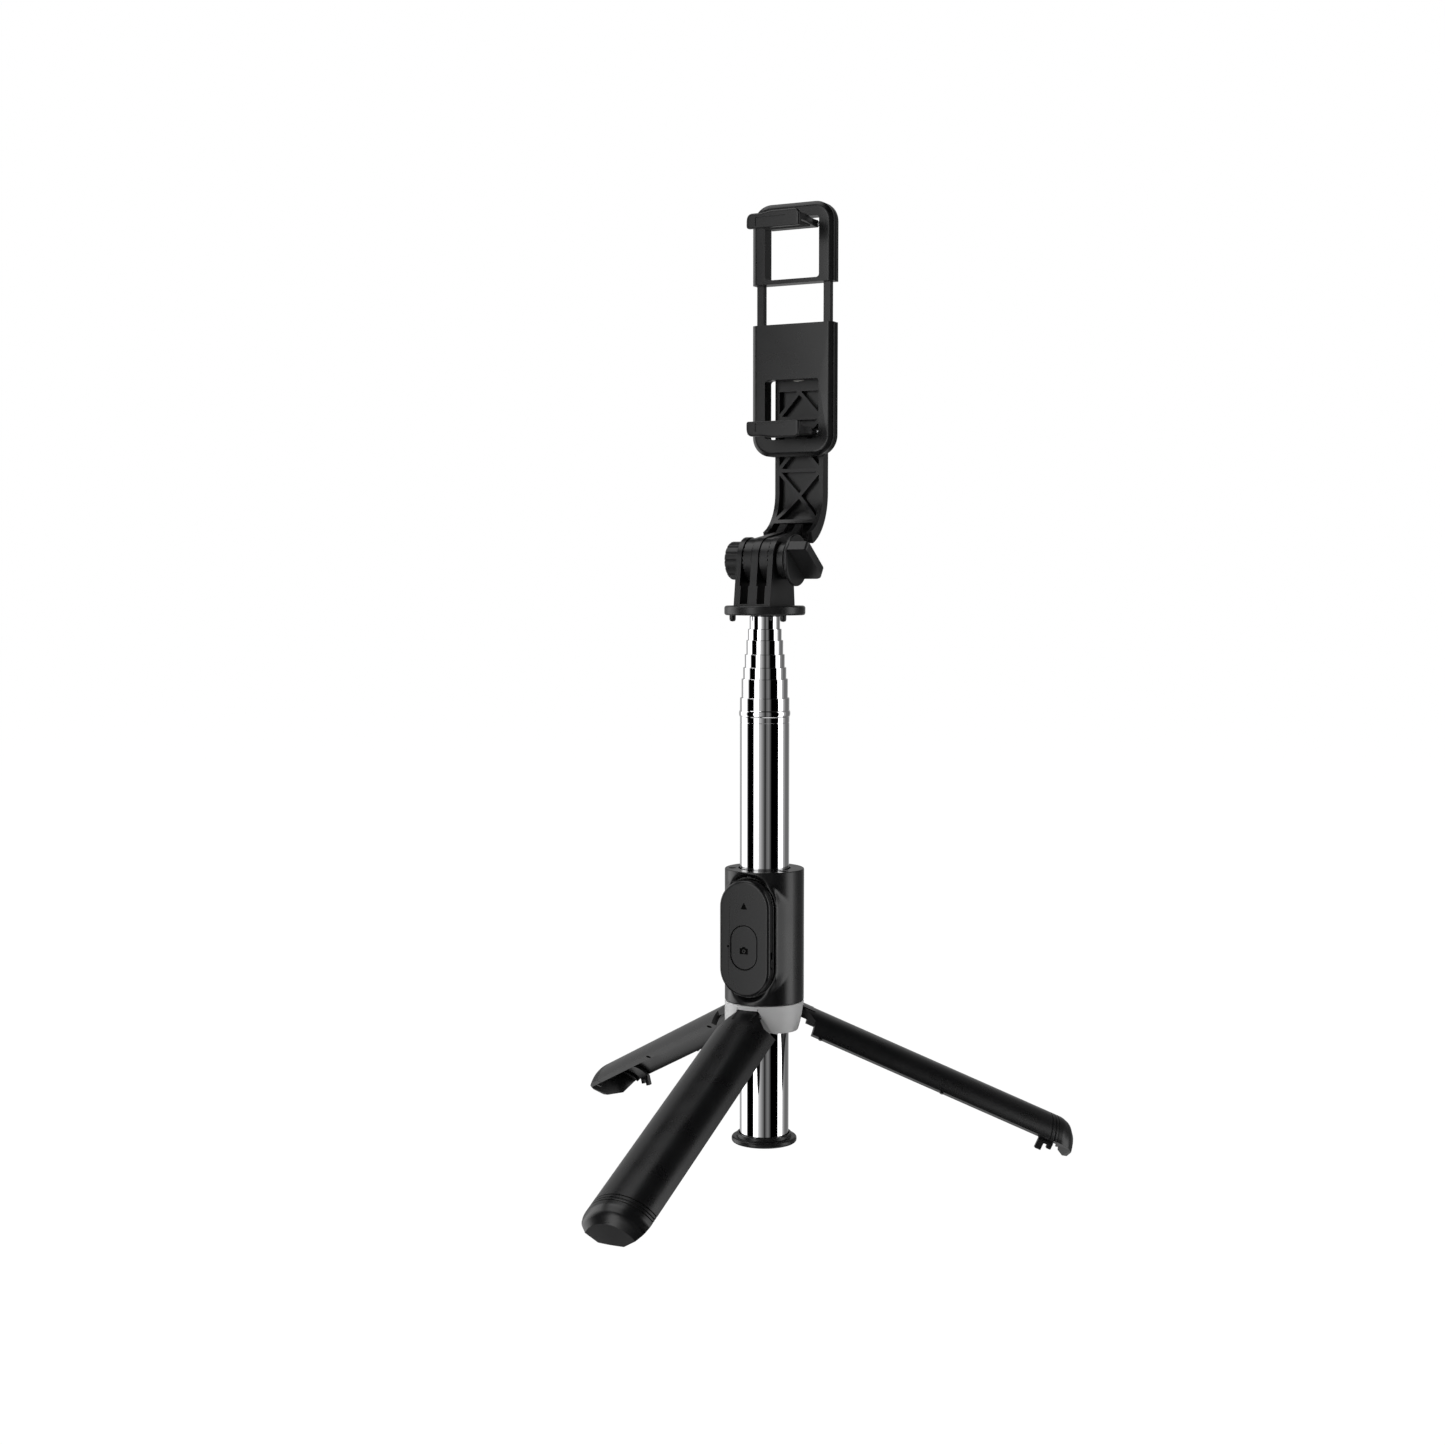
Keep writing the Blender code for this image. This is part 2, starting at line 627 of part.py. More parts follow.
def build_leg_meshes():
    """One leg's shell, foot and latch, hanging folded with its crown towards +Y."""
    half = LEG_SECTOR / 2
    edge_gap = math.degrees(GAP / 2 / HANDLE_R)
    wide = half - edge_gap
    top = HINGE_Z + 6
    split = HINGE_Z - FOOT_START
    shell = sector("shell", LEG_INNER_R, HANDLE_R, -wide, wide, split, top, 14)
    for side in (-1, 1):
        corner = [
            (side * TONGUE_HALF, top + 1),
            (side * TONGUE_HALF, HINGE_Z - SHOULDER_U),
            (side * SHOULDER_HALF, HINGE_Z - ROOT_U),
            (side * 20, HINGE_Z - ROOT_U),
            (side * 20, top + 1),
        ]
        cut(shell, outline("shoulder", corner, 0, 20, "Y"))
    cut(shell, box("above", (-20, 20), (0, 20), (HINGE_Z, top + 2)))
    cut(shell, box("heel", (-20, 20), (0, HEEL_V), (HINGE_Z - ROOT_U, top + 2)))
    cut(shell, box("skim", (-20, 20), (TONGUE_V[1], 20), (HINGE_Z - SHOULDER_U, top)))
    tongue = box(
        "tongue",
        (-TONGUE_HALF, TONGUE_HALF),
        TONGUE_V,
        (HINGE_Z - TONGUE_END, HINGE_Z),
    )
    at = (0, HINGE_RADIUS, HINGE_Z)
    knuckle = cylinder("knuckle", KNUCKLE_R, -TONGUE_HALF, TONGUE_HALF, at, "X", 20)
    join(tongue, knuckle)
    join(shell, tongue)
    cut(shell, cylinder("pin_hole", LEG_PIN_R + 0.08, -6, 6, at, "X", 12))
    mid_r = (LEG_INNER_R + HANDLE_R) / 2
    for drop in PEG_U:
        z = HINGE_Z - drop
        for side in (-1, 1):
            radius = 0.7 if side > 0 else 1.0
            reach = 0.45 if side > 0 else 0.7
            peg = cylinder("peg", radius, -reach, reach, (0, 0, 0), "X", 10)
            angle = math.radians(-side * wide)
            x = -mid_r * math.sin(angle)
            y = mid_r * math.cos(angle)
            place = Matrix.Translation(Vector((x, y, z)) * MM)
            peg.data.transform(place @ Matrix.Rotation(angle, 4, "Z"))
            combine(shell, peg, "UNION" if side > 0 else "DIFFERENCE")

    nose = [
        (0, HINGE_Z - FOOT_START - GAP),
        (HANDLE_R, HINGE_Z - FOOT_START - GAP),
        (HANDLE_R, HINGE_Z - 108.5),
        (14.75, HINGE_Z - 111.5),
        (14.1, HINGE_Z - 114.2),
        (12.9, HINGE_Z - 116.4),
        (11.0, HINGE_Z - 117.9),
        (9.2, HINGE_Z - 118.45),
        (FOOT_TOE_R, HINGE_Z - LEG_END),
        (0, HINGE_Z - LEG_END),
    ]
    foot = turned("foot", nose, sides=36, closed=False)
    hollow = cylinder("hollow", LEG_INNER_R, HINGE_Z - FOOT_FLOOR, split + 1, sides=36)
    cut(foot, hollow)
    wedge = sector("wedge", 0.01, 30, -wide, wide, HINGE_Z - LEG_END - 1, split + 1, 8)
    keep(foot, wedge)
    cut(foot, ground_cutter("ground"))

    low = HINGE_Z - LATCH_U[1]
    high = HINGE_Z - LATCH_U[0]
    latch = sector("liner", 11.2, LEG_INNER_R - GAP, -63, -15, low, high, 6)
    tab = [
        (5.8, high),
        (2.0, high),
        (2.0, HINGE_Z - LATCH_SLOT_U[0]),
        (4.9, HINGE_Z - LATCH_SLOT_U[0]),
        (4.9, HINGE_Z - LATCH_SLOT_U[1]),
        (3.6, HINGE_Z - LATCH_SLOT_U[1]),
        (3.6, low),
        (5.8, low),
    ]
    join(latch, outline("tab", tab, 9.6, 10.9, "X"))
    return [applied(item) for item in (shell, foot, latch)]


def build_legs():
    """Three legs, each under an empty on its hinge that holds it open."""
    looks = {"leg_shell": BLACK_SATIN, "leg_foot": BLACK_SATIN, "leg_latch": BLACK}
    templates = build_leg_meshes()
    to_hinge = Matrix.Translation(Vector((0, -HINGE_RADIUS, -HINGE_Z)) * MM)
    for item in templates:
        item.data.transform(to_hinge)
    for side, azimuth in LEG_AZIMUTH.items():
        hinge = bpy.data.objects.new(f"leg_{side}_hinge", None)
        PARTS.objects.link(hinge)
        x, y = around(HINGE_RADIUS, azimuth)
        hinge.location = Vector((x, y, HINGE_Z)) * MM
        hinge.rotation_euler = (math.radians(LEG_OPEN), 0, math.radians(azimuth - 90))
        for (kind, look), item in zip(looks.items(), templates):
            finish(link(kind, item.data.copy()), f"{kind}_{side}", look, parent=hinge)
    for item in templates:
        bpy.data.objects.remove(item)


# ---- head, arm and knob -------------------------------------------------------------


def build_head():
    """The head: disc with docking pins, spigot, three prongs, nut and bolt."""
    low, high = HEAD_Z
    edge = 0.7
    spigot = TUBE_R[6] - TUBE_WALL - SLIP
    profile = [
        (0, high),
        (HEAD_R - edge, high),
        (HEAD_R, high - edge),
        (HEAD_R, low + edge),
        (HEAD_R - edge, low),
        (spigot, low),
        (spigot, low - 10),
        (0, low - 10),
    ]
    head = turned("head", profile, sides=32, closed=False)
    pivot = (0, PIVOT_Z)
    side_view = [
        (PRONG_BASE_Y[1], high - 1),
        *arc(pivot, PRONG_R, 0, 180, 14),
        (PRONG_BASE_Y[0], high - 1),
    ]
    block = outline("block", side_view, PRONG_X[0][0], PRONG_X[2][1], "X")
    for side in (-1, 1):
        first, last = PRONG_X[1][1], PRONG_X[2][0]
        slot_x = sorted((side * first, side * last))
        thin_x = sorted((side * (first + 0.5), side * (last - 0.5)))
        cut(block, box("slot", slot_x, (-20, 20), (SLOT_STEP_Z, PIVOT_Z + 10)))
        cut(block, box("thin_slot", thin_x, (-20, 20), (high + 0.6, SLOT_STEP_Z + 1)))
    join(head, block)
    for azimuth in DOCK_ANGLES:
        x, y = around(DOCK_PIN_CIRCLE, azimuth)
        pin = [(0, low + 1), (DOCK_PIN_R, low + 1), (DOCK_PIN_R, low - 1.7)]
        pin += [(0.85, low - 2.2), (0, low - 2.4)]
        post = applied(turned("dock_pin", pin, sides=12, closed=False))
        post.data.transform(Matrix.Rotation(math.radians(azimuth), 4, "Z"))
        post.data.transform(Matrix.Translation(Vector((x, y, 0)) * MM))
        join(head, post)
    at = (0, 0, PIVOT_Z)
    cut(head, cylinder("bolt_hole", BOLT_R + 0.08, -12, 12, at, "X", 24))
    finish(head, "head_base", BLACK)

    nut_low, nut_high = NUT_CAP_END, PRONG_X[0][0] - GAP
    grip = cylinder("grip", NUT_CAP_R, nut_low, nut_high, at, "X", 32)
    cut(grip, cylinder("bolt_clear", BOLT_R + 0.3, nut_low + 1.2, nut_high + 1, at, "X", 24))
    cut(grip, cylinder("nut_seat", 4.6, nut_low + 2.0, nut_high + 1, at, "X", 6))
    for i in range(16):
        angle = 360 / 16 * (i + 0.5)
        y, z = around(NUT_CAP_R + 0.25, angle)
        flute = cylinder("flute", 0.5, nut_low - 1, nut_high + 1, (0, y, z + PIVOT_Z), "X", 6)
        cut(grip, flute)
    finish(grip, "ribbed_nut_cap", BLACK)
    nut = cylinder("nut", 4.3, nut_low + 2.3, nut_high - 0.2, at, "X", 6)
    cut(nut, cylinder("nut_bore", BOLT_R + 0.08, nut_low, nut_high + 2, at, "X", 24))
    finish(nut, "hex_nut", STEEL)

    bolt = cylinder("bolt", BOLT_R, *BOLT_X, at, "X", 24)
    finish(bolt, "clamp_bolt", STEEL, origin=at)
    finish(knob_shape(at), "wing_knob", BLACK, origin=at)


def knob_shape(at):
    """The knob: flange, hub and disc, with a blade across the disc that fingers turn."""
    knob = cylinder("flange", KNOB_FLANGE_R, *KNOB_FLANGE, at, "X", 32)
    hub = cylinder("hub", KNOB_HUB_R, KNOB_FLANGE[0] + 1, KNOB_DISC[1] - 0.5, at, "X", 24)
    disc = cylinder("disc", KNOB_DISC_R, *KNOB_DISC, at, "X", 40)
    sharp, soft = 1.2, 3.0
    root = KNOB_DISC[1] - 0.6
    wing = [(root, -WING_HALF)]
    wing += arc((WING_END - soft, -WING_HALF + soft), soft, -90, 0, 4)
    wing += arc((WING_END - sharp, WING_HALF - sharp), sharp, 0, 90, 3)
    wing += [(root, WING_HALF)]
    blade = outline("blade", wing, -WING_THICK / 2, WING_THICK / 2, "Y")
    turn = Matrix.Rotation(math.radians(WING_TURN), 4, "X")
    blade.data.transform(Matrix.Translation(Vector(at) * MM) @ turn)
    join(knob, hub, disc, blade)
    return cut(knob, cylinder("bolt_seat", BOLT_R + GAP, 5, BOLT_X[1] + GAP, at, "X", 24))


def bend(offset):
    """The arm's bend, from its lower end up to the straight part, as (y, z) points.

    It is a circular arc that meets the vertical at the bend's top; offset moves it
    from the arm's front face towards its back.
    """
    radius = 16.2 + offset
    centre = (ARM_FRONT_Y - 16.2, 247.0)
    return arc(centre, radius, -BEND_ANGLE, 0, 9)


def build_arm():
    """The tilting arm: bent channel with crossed ribs and two knuckle plates."""
    thick = ARM_BACK_Y - ARM_FRONT_Y
    top = SWIVEL_Z + ARM_HALF
    front = bend(0)
    back = bend(thick)
    side_view = front + [(ARM_FRONT_Y, top), (ARM_BACK_Y, top)] + back[::-1]
    arm = outline("arm", side_view, -ARM_HALF, ARM_HALF, "X")
    crown = [(-20, SWIVEL_Z), (-20, top + 5), (20, top + 5), (20, SWIVEL_Z)]
    round_top = arc((0, SWIVEL_Z), ARM_HALF, 0, 180, 12)
    cut(arm, outline("crown", crown + round_top, 20, 40, "Y"))

    layer_side = bend(-3) + [(ARM_FRONT_Y - 3, 286), (ARM_FRONT_Y + CHANNEL_DEPTH, 286)]
    layer_side += bend(CHANNEL_DEPTH)[::-1]
    reach = ARM_HALF - FLANGE_W
    layer = outline("layer", layer_side, -reach, reach, "X")
    for low, high in RIB_CROSSES:
        middle = (low + high) / 2
        cut(layer, box("crossbar", (-20, 20), (0, 60), (high, high + RIB_W)))
        slope = math.atan2(high - low, 2 * reach)
        for side in (-1, 1):
            rib = box("rib", (-20, 20), (0, 60), (-RIB_W / 2, RIB_W / 2))
            tilt = Matrix.Rotation(side * slope, 4, "Y")
            rib.data.transform(Matrix.Translation((0, 0, middle * MM)) @ tilt)
            cut(layer, rib)
    lowest = RIB_CROSSES[0][0]
    cut(layer, box("crossbar", (-20, 20), (0, 60), (lowest - RIB_W, lowest)))
    cut(arm, layer)

    tip_front = front[0]
    tip_back = back[0]
    plate = [
        *arc((0, PIVOT_Z), ARM_KNUCKLE_R, 85, 306, 16),
        (tip_back[0] + 0.5, tip_back[1] + 0.3),
        (tip_front[0] + 4.0, tip_front[1] + 3.0),
        (tip_front[0], tip_front[1]),
    ]
    for side in (-1, 1):
        low, high = sorted((side * KNUCKLE_X[0], side * KNUCKLE_X[1]))
        join(arm, outline("knuckle_plate", plate, low, high, "X"))
    pivot = (0, 0, PIVOT_Z)
    cut(arm, cylinder("pivot_hole", BOLT_R + 0.08, -8, 8, pivot, "X", 24))
    at = (0, 0, SWIVEL_Z)
    cut(arm, cylinder("swivel_hole", SWIVEL_R + 0.08, 20, 40, at, "Y", 24))
    finish(arm, "tilt_arm", BLACK, origin=pivot)


# ---- phone clamp --------------------------------------------------------------------


def build_clamp_body():
    """The clamp's fixed half: body, rear cover, screws, swivel axle and washer."""
    low, high = BODY_Z
    shape = rounded(PLATE_HALF, low, high, PLATE_CORNER, top=False)
    front, back = PLATE_Y
    body = outline("body", shape, front, COVER_Y - GAP, "Y")
    window = (-WINDOW_HALF, WINDOW_HALF)
    cut(body, box("window", window, (0, 60), LOWER_WINDOW_Z))
    for side in (-1, 1):
        channel = sorted((side * (RAIL_X[0] - GAP), side * (RAIL_X[1] + GAP)))
        depth = (RAIL_Y[0] - GAP, COVER_Y + 1)
        cut(body, box("rail_channel", channel, depth, (CHANNEL_FLOOR, high + 1)))
    pin_at = (0, JAW_PIN_Y, LOWER_PIN_Z)
    cut(body, cylinder("pin_hole", 0.86, -12.25, 12.25, pin_at, "X", 10))
    swivel = (0, 0, SWIVEL_Z)
    cut(body, cylinder("axle_seat", 4.5, 24.0, 30, swivel, "Y", 24))
    screw_spots = [(-7.5, 306.0), (7.5, 306.0)]
    for x, z in screw_spots:
        cut(body, cylinder("screw_bore", 0.75, 24.2, 30, (x, 0, z), "Y", 10))
    finish(body, "clamp_body", BLACK_SATIN)

    cover = outline("cover", shape, COVER_Y, back, "Y")
    cut(cover, box("cover_window", window, (0, 60), LOWER_WINDOW_Z))
    cut(cover, cylinder("axle_hole", SWIVEL_R + 0.3, 20, 40, swivel, "Y", 24))
    for (x, z), label in zip(screw_spots, ("left", "right")):
        cut(cover, cylinder("screw_clear", 0.95, 20, 40, (x, 0, z), "Y", 10))
        cut(cover, cylinder("screw_sink", 1.5, back - 0.9, 40, (x, 0, z), "Y", 10))
        shank = cylinder("shank", 0.6, 24.6, back - 0.4, (x, 0, z), "Y", 10)
        head = cylinder("head", 1.3, back - 0.7, back - 0.1, (x, 0, z), "Y", 10)
        finish(join(head, shank), f"clamp_screw_{label}", STEEL)
    finish(cover, "clamp_rear_cover", BLACK_SATIN)

    shaft = cylinder("shaft", SWIVEL_R, 24.8, 36.0, swivel, "Y", 24)
    flange = cylinder("flange", 4.2, 24.3, 27.0, swivel, "Y", 24)
    cap = cylinder("cap", 4.8, ARM_BACK_Y + GAP, 36.6, swivel, "Y", 24)
    finish(join(shaft, flange, cap), "swivel_axle", STEEL)
    washer = cylinder("washer", 7.0, back + GAP, ARM_FRONT_Y - GAP, swivel, "Y", 24)
    cut(washer, cylinder("washer_hole", SWIVEL_R + SLIP, 20, 40, swivel, "Y", 24))
    finish(washer, "swivel_washer", NYLON)


def build_clamp_slider():
    """The clamp's sliding half with its two rails, and the springs that pull it in."""
    low, high = SLIDER_Z
    shape = rounded(PLATE_HALF, low, high, PLATE_CORNER, bottom=False)
    slider = outline("slider", shape, *PLATE_Y, "Y")
    for side in (-1, 1):
        rail_x = sorted((side * RAIL_X[0], side * RAIL_X[1]))
        join(slider, box("rail", rail_x, RAIL_Y, (RAIL_BOTTOM, low + 2)))
        groove_x = sorted((side * 13.0, side * 15.0))
        groove = box("groove", groove_x, (24, 26.6), (RAIL_BOTTOM - 1, 309.5))
        cut(slider, groove)
    window = (-WINDOW_HALF, WINDOW_HALF)
    cut(slider, box("window", window, (0, 60), UPPER_WINDOW_Z))
    pin_at = (0, JAW_PIN_Y, UPPER_PIN_Z)
    cut(slider, cylinder("pin_hole", 0.86, -12.6, 12.6, pin_at, "X", 10))
    finish(slider, "clamp_slider", BLACK_SATIN)

    turns = 7
    per_turn = 6
    coil_r = 0.68
    wire_r = 0.14
    bottom, top = CHANNEL_FLOOR + GAP + wire_r, 309.0
    for side, label in ((-1, "left"), (1, "right")):
        curve = bpy.data.curves.new("coil", "CURVE")
        curve.dimensions = "3D"
        curve.bevel_depth = wire_r * MM
        curve.bevel_resolution = 0
        curve.use_fill_caps = True
        spline = curve.splines.new("POLY")
        count = turns * per_turn + 1
        spline.points.add(count - 1)
        for i, knot in enumerate(spline.points):
            angle = 2 * math.pi * i / per_turn
            x = side * 14.0 + coil_r * math.cos(angle)
            y = 25.5 + coil_r * math.sin(angle)
            z = bottom + (top - bottom) * i / (count - 1)
            knot.co = (x * MM, y * MM, z * MM, 1.0)
        finish(link("coil", curve_mesh(curve)), f"clamp_spring_{label}", STEEL)


def curve_mesh(curve):
    """A curve's mesh with its caps welded on."""
    drawn = link("drawn", curve)
    bpy.context.view_layer.update()
    graph = bpy.context.evaluated_depsgraph_get()
    mesh = bpy.data.meshes.new_from_object(drawn.evaluated_get(graph))
    bpy.data.objects.remove(drawn)
    shape = bmesh.new()
    shape.from_mesh(mesh)
    bmesh.ops.remove_doubles(shape, verts=shape.verts, dist=0.000001)
    bmesh.ops.recalc_face_normals(shape, faces=shape.faces)
    shape.to_mesh(mesh)
    shape.free()
    return mesh


def build_jaw(label, pin_z, up):
    """A folding jaw with its pin and pad. up is 1 where the phone rests on top of it."""
    front, lip_back = LIP_Y

    def level(height):
        """A height above the pin, measured towards the phone."""
        return pin_z + up * height

    def span(low, high):
        return sorted((level(low), level(high)))

    half = JAW_HALF
    lip = box("lip", (-half, half), (front, lip_back), span(-2.9, 3.4))
    shelf_points = [
        (half, lip_back - 0.5),
        (half, 12.0),
        (half - 1.5, 21.0),
        (half - 1.5, JAW_PIN_Y),
    ]
    shelf_points += [(-x, y) for x, y in shelf_points[::-1]]
    shelf = outline("shelf", shelf_points, *span(-1.3, 1.3), "Z")
    pin_at = (0, JAW_PIN_Y, pin_z)
    knuckle = cylinder("knuckle", 1.4, -half + 1.5, half - 1.5, pin_at, "X", 16)
    jaw = join(lip, shelf, knuckle)
    seat_x = (-half + 1.8, half - 1.8)
    cut(jaw, box("seat", seat_x, (8.6, 20.6), span(0.7, 3)))
    cut(jaw, cylinder("pin_hole", 0.86, -12, 12, pin_at, "X", 10))
    finish(jaw, f"{label}_jaw", BLACK_SATIN, origin=pin_at)
    pin = cylinder("pin", 0.8, -12.1, 12.1, pin_at, "X", 10)
    finish(pin, f"{label}_jaw_pin", STEEL)
    pad_x = (seat_x[0] + GAP, seat_x[1] - GAP)
    pad = box("pad", pad_x, (8.6 + GAP, 20.6 - GAP), span(1.0, 1.8))
    finish(pad, f"{label}_jaw_pad", RUBBER, origin=pin_at)


# ---- the whole object ---------------------------------------------------------------

build_pole()
build_collar()
build_housing()
build_remote()
build_legs()
build_head()
build_arm()
build_clamp_body()
build_clamp_slider()
build_jaw("lower", LOWER_PIN_Z, 1)
build_jaw("upper", UPPER_PIN_Z, -1)
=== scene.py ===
"""Looks of the selfie stick: detailed pieces, materials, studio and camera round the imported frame.

Shapes are made in millimetres in the frame's own axes and become metres in piece().
+Z runs up the pole and -Y is the side that the remote and the phone's screen face.
"""

import json
import math

import bmesh
import bpy
from mathutils import Matrix, Vector

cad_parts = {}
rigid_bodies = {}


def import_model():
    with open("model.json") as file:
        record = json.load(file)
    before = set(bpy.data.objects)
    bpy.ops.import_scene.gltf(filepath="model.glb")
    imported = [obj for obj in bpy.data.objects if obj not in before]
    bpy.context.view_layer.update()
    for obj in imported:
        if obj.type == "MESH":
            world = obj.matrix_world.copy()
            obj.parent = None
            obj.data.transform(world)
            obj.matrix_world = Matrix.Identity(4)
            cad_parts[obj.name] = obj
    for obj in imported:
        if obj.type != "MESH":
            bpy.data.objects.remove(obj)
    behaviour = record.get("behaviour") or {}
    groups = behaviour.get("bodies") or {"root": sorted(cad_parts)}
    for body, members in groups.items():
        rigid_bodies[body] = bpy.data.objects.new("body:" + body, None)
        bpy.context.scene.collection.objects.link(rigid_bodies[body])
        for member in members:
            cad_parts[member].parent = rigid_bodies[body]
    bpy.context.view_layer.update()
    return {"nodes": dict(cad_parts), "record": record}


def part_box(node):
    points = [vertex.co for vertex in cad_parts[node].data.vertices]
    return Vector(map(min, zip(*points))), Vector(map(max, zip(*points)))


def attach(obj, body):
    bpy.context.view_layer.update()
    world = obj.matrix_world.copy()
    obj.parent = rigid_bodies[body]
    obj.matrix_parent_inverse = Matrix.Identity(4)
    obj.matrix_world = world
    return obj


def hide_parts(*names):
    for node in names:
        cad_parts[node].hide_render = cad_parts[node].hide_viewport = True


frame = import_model()

MM = 0.001
GAP = 0.3  # between pieces that touch
SLIP = 0.1  # radial clearance of a sliding fit
SHARP = math.radians(32)  # an edge that turns more than this is softened and shades as an edge


def span(node, axis):
    """Lowest and highest value of a CAD node along an axis (0, 1, 2), in millimetres."""
    low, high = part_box(node)
    return low[axis] / MM, high[axis] / MM


# ---- sizes, read from the frame where a node shows them ----

TUBES = ["outer_tube"] + [f"pole_tube_{i}" for i in range(2, 8)]
TUBE_TOP = [span(name, 2)[1] for name in TUBES]
TUBE_BOTTOM = [span(name, 2)[0] for name in TUBES]
TUBE_R = [9.3 - 0.6 * level for level in range(7)]
TUBE_WALL = 0.3
BEAD_Z = (162.1, 164.6)
BEAD_R = span("outer_tube", 0)[1]
GROOVE_DROP = 3.4  # from the bead's middle down to the fine groove
BASE_R = span("base_disc", 0)[1]
BASE_THICK = 2.1
BASE_RING_R = 10.4
BASE_RING_TOP = 3.4
BASE_PLUG_TOP = 8.0

HANDLE_R = 15.0
HOUSING_Z = span("handle_housing", 2)
TOP_HOLE_R = BEAD_R + GAP
TOP_HOLE_DEPTH = 3.0
BORE_R = 10.2
DOCK_CIRCLE = 12.1
DOCK_HOLE_R = 1.5
DOCK_HOLE_DEPTH = 2.8
DOCK_ANGLES = (90.0, 210.0, 330.0)
COLLAR_Z = span("tripod_collar", 2)
COLLAR_BORE = 9.7
COLLAR_SCREW_CIRCLE = 12.2
COLLAR_SCREW_TOP = 57.1
MOUTH_TOP = 52.9

LEG_AZIMUTH = {"front": -90.0, "right": 30.0, "left": 150.0}
LEG_OPEN = 65.5
HINGE_RADIUS = 12.5
HINGE_Z = 51.1
HINGE_PIN_R = 0.9
HINGE_PIN_HALF = 6.1
KNUCKLE_R = 2.2
LEG_INNER_R = 12.7
LEG_HALF = 60 - math.degrees(GAP / 2 / HANDLE_R)
LEG_END = 118.6
FOOT_START = 106.4
FOOT_FLOOR = 116.2
GROUND_Z = -6.4
ROOT_U = 7.3
SHOULDER_U = 1.5
SHOULDER_HALF = 9.1
TONGUE_HALF = 4.1
TONGUE_V = (10.5, 14.7)
PEG_DROPS = (11.0, 61.5)  # pegs and dimples on the cut edges, measured down from the hinge

REMOTE_R = span("remote_front_shell", 0)[1]
REMOTE_Z = span("remote_front_shell", 2)
REMOTE_FRONT, REMOTE_SPLIT = span("remote_front_shell", 1)
REMOTE_BACK = span("remote_rear_shell", 1)[1]
POCKET_FLOOR = -10.9
BEZEL_FRONT = -13.0
BUTTON_R = 5.4
BUTTON_Z = (68.7, 85.2)
BUTTON_Y = (-17.45, -15.9)
BUTTON_WELL = -15.2  # deep enough for the button's travel
SWITCH_SLOT_Z = (69.2, 75.9)
SWITCH_SLOT_Y = -15.15
SWITCH_SLOT_HALF = 0.75
PRINT = 0.02  # how far a printed mark stands proud

HEAD_Z = (200.2, 203.8)
HEAD_R = span("head_base", 0)[1]
PIVOT_Z = 220.6
PIVOT = (0, PIVOT_Z)  # (y, z) of the bolt
PRONG_R = 8.8
PRONG_X = ((-7.5, -5.5), (-1.4, 1.4), (5.5, 7.5))
PRONG_BASE_Y = (-11.2, 10.4)
SLOT_STEP_Z = 211.1
KNUCKLE_X = (1.75, 4.85)
ARM_KNUCKLE_R = 8.4
BOLT_R = 2.5
NUT_CAP_END = span("ribbed_nut_cap", 0)[0]
NUT_CAP_R = 7.2
KNOB_FLANGE = (7.8, 10.8)
KNOB_DISC = (12.1, 13.5)
WING_END = span("wing_knob", 0)[1]
WING_HALF = 9.4
WING_THICK = 3.6
WING_TURN = 55.0

ARM_HALF = 10.2
ARM_FRONT_Y = 30.0
ARM_BACK_Y = 34.7
BEND_R = 16.2  # on the front face
BEND_Z = 247.0
CHANNEL_TOP = 286.0
SWIVEL_Z = 296.6
SWIVEL = (0, SWIVEL_Z)  # (x, z)
SWIVEL_R = 2.4
PIVOT_PLAY = 0.08  # round the bolt and the swivel
CHANNEL_DEPTH = 3.0
FLANGE_W = 1.8
RIB_W = 1.4
BEND_ANGLE = 70.0  # how far the lower end turns from the straight part
RIB_CROSSES = ((236.7, 255.0), (256.4, 275.0), (276.4, 295.0))  # lowest and highest point of each

PLATE_HALF = span("clamp_body", 0)[1]
PLATE_Y = (23.0, 28.7)
PLATE_CORNER = 7.7
BODY_Z = span("clamp_body", 2)
COVER_Y = 27.5
SLIDER_Z = (326.3, span("clamp_slider", 2)[1])
WINDOW_HALF = 11.3
LOWER_WINDOW_Z = (267.2, 290.0)
UPPER_WINDOW_Z = (327.9, 351.0)
RAIL_X = (12.6, 15.4)
RAIL_Y = (24.5, 27.2)
RAIL_BOTTOM = span("clamp_slider", 2)[0]
JAW_PIN_Y = 25.6
JAW_PIN_R = 0.8
JAW_PIN_HOLE_R = 0.86
CLAMP_SCREW_X = 7.5
CLAMP_SCREW_Z = 306.0
JAW_HALF = span("lower_jaw", 0)[1]
LIP_Y = (6.0, 7.8)
JAWS = {"lower": (269.6, 1), "upper": (348.2, -1)}  # height of the pin, and which way the phone is

# ---- materials ----


def add(tree, kind, **settings):
    """A new shader node with its inputs set by name."""
    made = tree.nodes.new(kind)
    for name, value in settings.items():
        made.inputs[name].default_value = value
    return made


